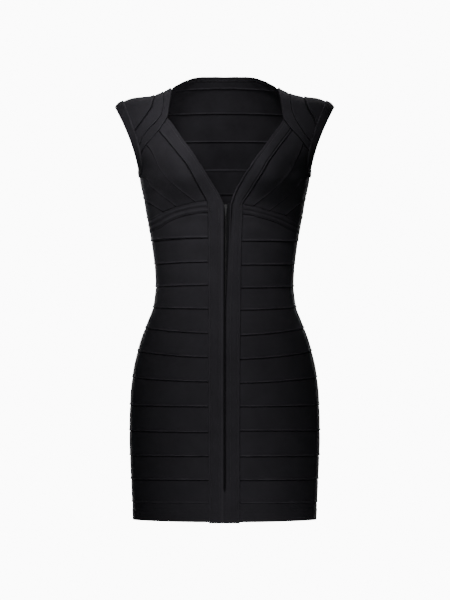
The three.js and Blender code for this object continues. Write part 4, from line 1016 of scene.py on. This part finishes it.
def cloth_material(name, dark, light, stitch, depth, rough, sheen, twill=False):
    """Knit from rows of small V-shaped loops, or a twill tape, in the cloth's own centimetres."""
    made, tree, shader = material(name)
    uv, split = tree.nodes.new("ShaderNodeUVMap"), tree.nodes.new("ShaderNodeSeparateXYZ")
    uv.uv_map = "cloth"
    tree.links.new(uv.outputs[0], split.inputs[0])
    along, across = (maths(tree, "MULTIPLY", split.outputs[k], 10 / stitch[k]) for k in (0, 1))
    if twill:
        lean = maths(tree, "MULTIPLY", along, 0.5)
    else:
        lean = maths(tree, "ABSOLUTE", maths(tree, "SUBTRACT", maths(tree, "FRACT", along), 0.5))
    slant = maths(tree, "ADD", across, lean)
    loop, rib = (maths(tree, "SINE", maths(tree, "MULTIPLY", turn, 2 * math.pi)) for turn in (slant, along))
    weave = total(tree, (loop, 0.35), (rib, 0.15))
    relief(tree, shader, total(tree, weave, (noise(tree, 900, 3), 0.35)), depth, 0.7)

    # Tone: clouds, the weave, and the painted highlights on the strips' proud edges and painted shade in
    # their grooves
    lip = tree.nodes.new("ShaderNodeAttribute")
    lip.attribute_name = "lip"
    tone = total(tree, (noise(tree, 26, 4), 0.2), (weave, 0.08), 0.26, (lip.outputs["Fac"], 0.42))
    coloured(tree, shader, tone, dark, light)
    shader.inputs["Roughness"].default_value = rough
    shader.inputs["Specular IOR Level"].default_value = 0.06
    shader.inputs["Sheen Weight"].default_value = sheen
    shader.inputs["Sheen Roughness"].default_value = 0.45
    shader.inputs["Sheen Tint"].default_value = (0.55, 0.57, 0.65, 1)
    return made


def plain_material(name, colour, rough, scale, gloss=0.5, depth=0.00003):
    """One colour with a fine grain, which also makes its roughness uneven."""
    uneven = 0.06
    made, tree, shader = material(name)
    grain = noise(tree, scale, 5)
    coloured(tree, shader, grain, colour, [min(1, c * 1.5 + 0.01) for c in colour])
    tree.links.new(total(tree, (grain, uneven), rough - uneven / 2), shader.inputs["Roughness"])
    relief(tree, shader, grain, depth)
    shader.inputs["Specular IOR Level"].default_value = gloss
    return made


KNIT = cloth_material("knit", (0.0036, 0.0034, 0.0043), (0.0445, 0.0422, 0.0490), stitch=(1.25, 1.0),
                      depth=0.00022, rough=0.9, sheen=0.03)
TAPE = cloth_material("zip_tape", (0.003, 0.003, 0.0035), (0.012, 0.012, 0.0135), stitch=(0.9, 0.7),
                      depth=0.00012, rough=0.82, sheen=0.1, twill=True)
THREAD = plain_material("thread", (0.008, 0.008, 0.0095), 0.6, 1500, gloss=0.25)
TEETH = plain_material("zip_teeth", (0.004, 0.004, 0.0045), 0.42, 600, gloss=0.25)
METAL = plain_material("zip_metal", (0.012, 0.012, 0.013), 0.55, 300, gloss=0.1)


def finish_piece(piece, made, replaced=None):
    piece.data.materials.clear()
    piece.data.materials.append(made)
    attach(piece, "dress")
    if replaced:
        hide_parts(replaced)


for node, built in BUILT.items():
    is_tape = node.startswith("zip_tape")
    finish_piece(built["piece"], TAPE if is_tape else KNIT, node)
for piece in sewing():
    finish_piece(piece, THREAD)
finish_piece(zip_teeth(), TEETH, "zip_chain")
# The slider and its tab keep their CAD solids, with lacquer and softer edges
for node in ("zip_slider", "zip_pull_tab"):
    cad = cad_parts[node]
    cad.data.materials.clear()
    cad.data.materials.append(METAL)
    weld = cad.modifiers.new("weld", "WELD")
    weld.merge_threshold = 1e-6
    soft = cad.modifiers.new("soft_edges", "BEVEL")
    soft.width = 0.00016
    soft.segments = 2
    soft.limit_method = "ANGLE"
    soft.angle_limit = math.radians(35)

# Floor and surroundings: white in the picture, but casting next to no light on the cloth
FLOOR = {"radius": 1.35, "z": -1.06, "sides": 96}
SEEN_LIGHT = {"paper": 11.0, "floor": 7.0}
CAST_LIGHT = 0.02


def bright_when_seen(tree, bright, plain, output):
    """Show one shader to the camera and another to everything else."""
    rays, choose = tree.nodes.new("ShaderNodeLightPath"), tree.nodes.new("ShaderNodeMixShader")
    tree.links.new(rays.outputs["Is Camera Ray"], choose.inputs["Fac"])
    tree.links.new(plain.outputs[0], choose.inputs[1])
    tree.links.new(bright.outputs[0], choose.inputs[2])
    tree.links.new(choose.outputs[0], tree.nodes[output].inputs["Surface"])


floor_mesh = bpy.data.meshes.new("floor")
turns = np.linspace(0, 2 * math.pi, FLOOR["sides"], endpoint=False)
rim = [(FLOOR["radius"] * math.cos(a), FLOOR["radius"] * math.sin(a), FLOOR["z"]) for a in turns]
floor_mesh.from_pydata(rim, [], [tuple(range(FLOOR["sides"]))])
floor = placed("floor", floor_mesh)
pale = plain_material("pale_floor", (0.8, 0.8, 0.79), 0.9, 40, depth=0.0)
floor_mesh.materials.append(pale)
glow = pale.node_tree.nodes.new("ShaderNodeEmission")
glow.inputs["Strength"].default_value = SEEN_LIGHT["floor"]
bright_when_seen(pale.node_tree, glow, pale.node_tree.nodes["Principled BSDF"], "Material Output")

world = bpy.data.worlds.new("studio")
bpy.context.scene.world = world
world.use_nodes = True
seen, cast = world.node_tree.nodes["Background"], world.node_tree.nodes.new("ShaderNodeBackground")
seen.inputs["Color"].default_value = (1, 1, 1, 1)
seen.inputs["Strength"].default_value = SEEN_LIGHT["paper"]
cast.inputs["Color"].default_value = (0.92, 0.95, 1, 1)
cast.inputs["Strength"].default_value = CAST_LIGHT
bright_when_seen(world.node_tree, seen, cast, "World Output")

# Studio lights: place, what each faces, its width and height, spread and lean in degrees, and strength
LIGHTS = {
    "front": ((-0.03, -2.6, -0.42), (-0.03, 0, -0.42), (0.2, 1.5), 10.5, 6, 1.15),
    "key": ((-0.32, -1.25, 1.4), (-0.035, -0.06, -0.04), (0.18, 0.18), 16, 0, 0.5),
    "back_left": ((-1.1, 2.5, -0.25), (0, 0, -0.4), (0.3, 1.5), 34, 0, 3.2),
    "back_right": ((1.1, 2.5, -0.25), (0, 0, -0.4), (0.3, 1.5), 34, 0, 2.6),
    "back_top": ((0.3, 1.5, 1.4), (0, 0, -0.05), (0.5, 0.5), 40, 0, 1.6),
}
for name, (place, aim, (wide, high), spread, lean, watts) in LIGHTS.items():
    lamp = bpy.data.lights.new(name, "AREA")
    lamp.shape = "RECTANGLE"
    lamp.size, lamp.size_y = wide, high
    lamp.spread = math.radians(spread)
    lamp.energy = watts
    holder = placed(name, lamp)
    holder.location = place
    way = (Vector(aim) - Vector(place)).normalized()
    leaning = Quaternion(way, math.radians(-lean))
    holder.rotation_euler = (leaning @ way.to_track_quat("-Z", "Y")).to_euler()
    holder.visible_camera = False

# Camera: its distance from the dress, its height and shift to the side, and the width of what it frames
CAMERA = {"distance": 15.0, "height": -0.38, "side": 0.0006, "frame": 1.104, "sensor": 36}
lens = bpy.data.cameras.new("camera")
lens.sensor_width = CAMERA["sensor"]
lens.lens = CAMERA["sensor"] * CAMERA["distance"] / CAMERA["frame"]
lens.clip_start = 0.5
lens.clip_end = 60
camera = placed("camera", lens)
camera.location = (CAMERA["side"], SIDE_Y * MM - CAMERA["distance"], CAMERA["height"])
camera.rotation_euler = (math.pi / 2, 0, 0)
bpy.context.scene.camera = camera
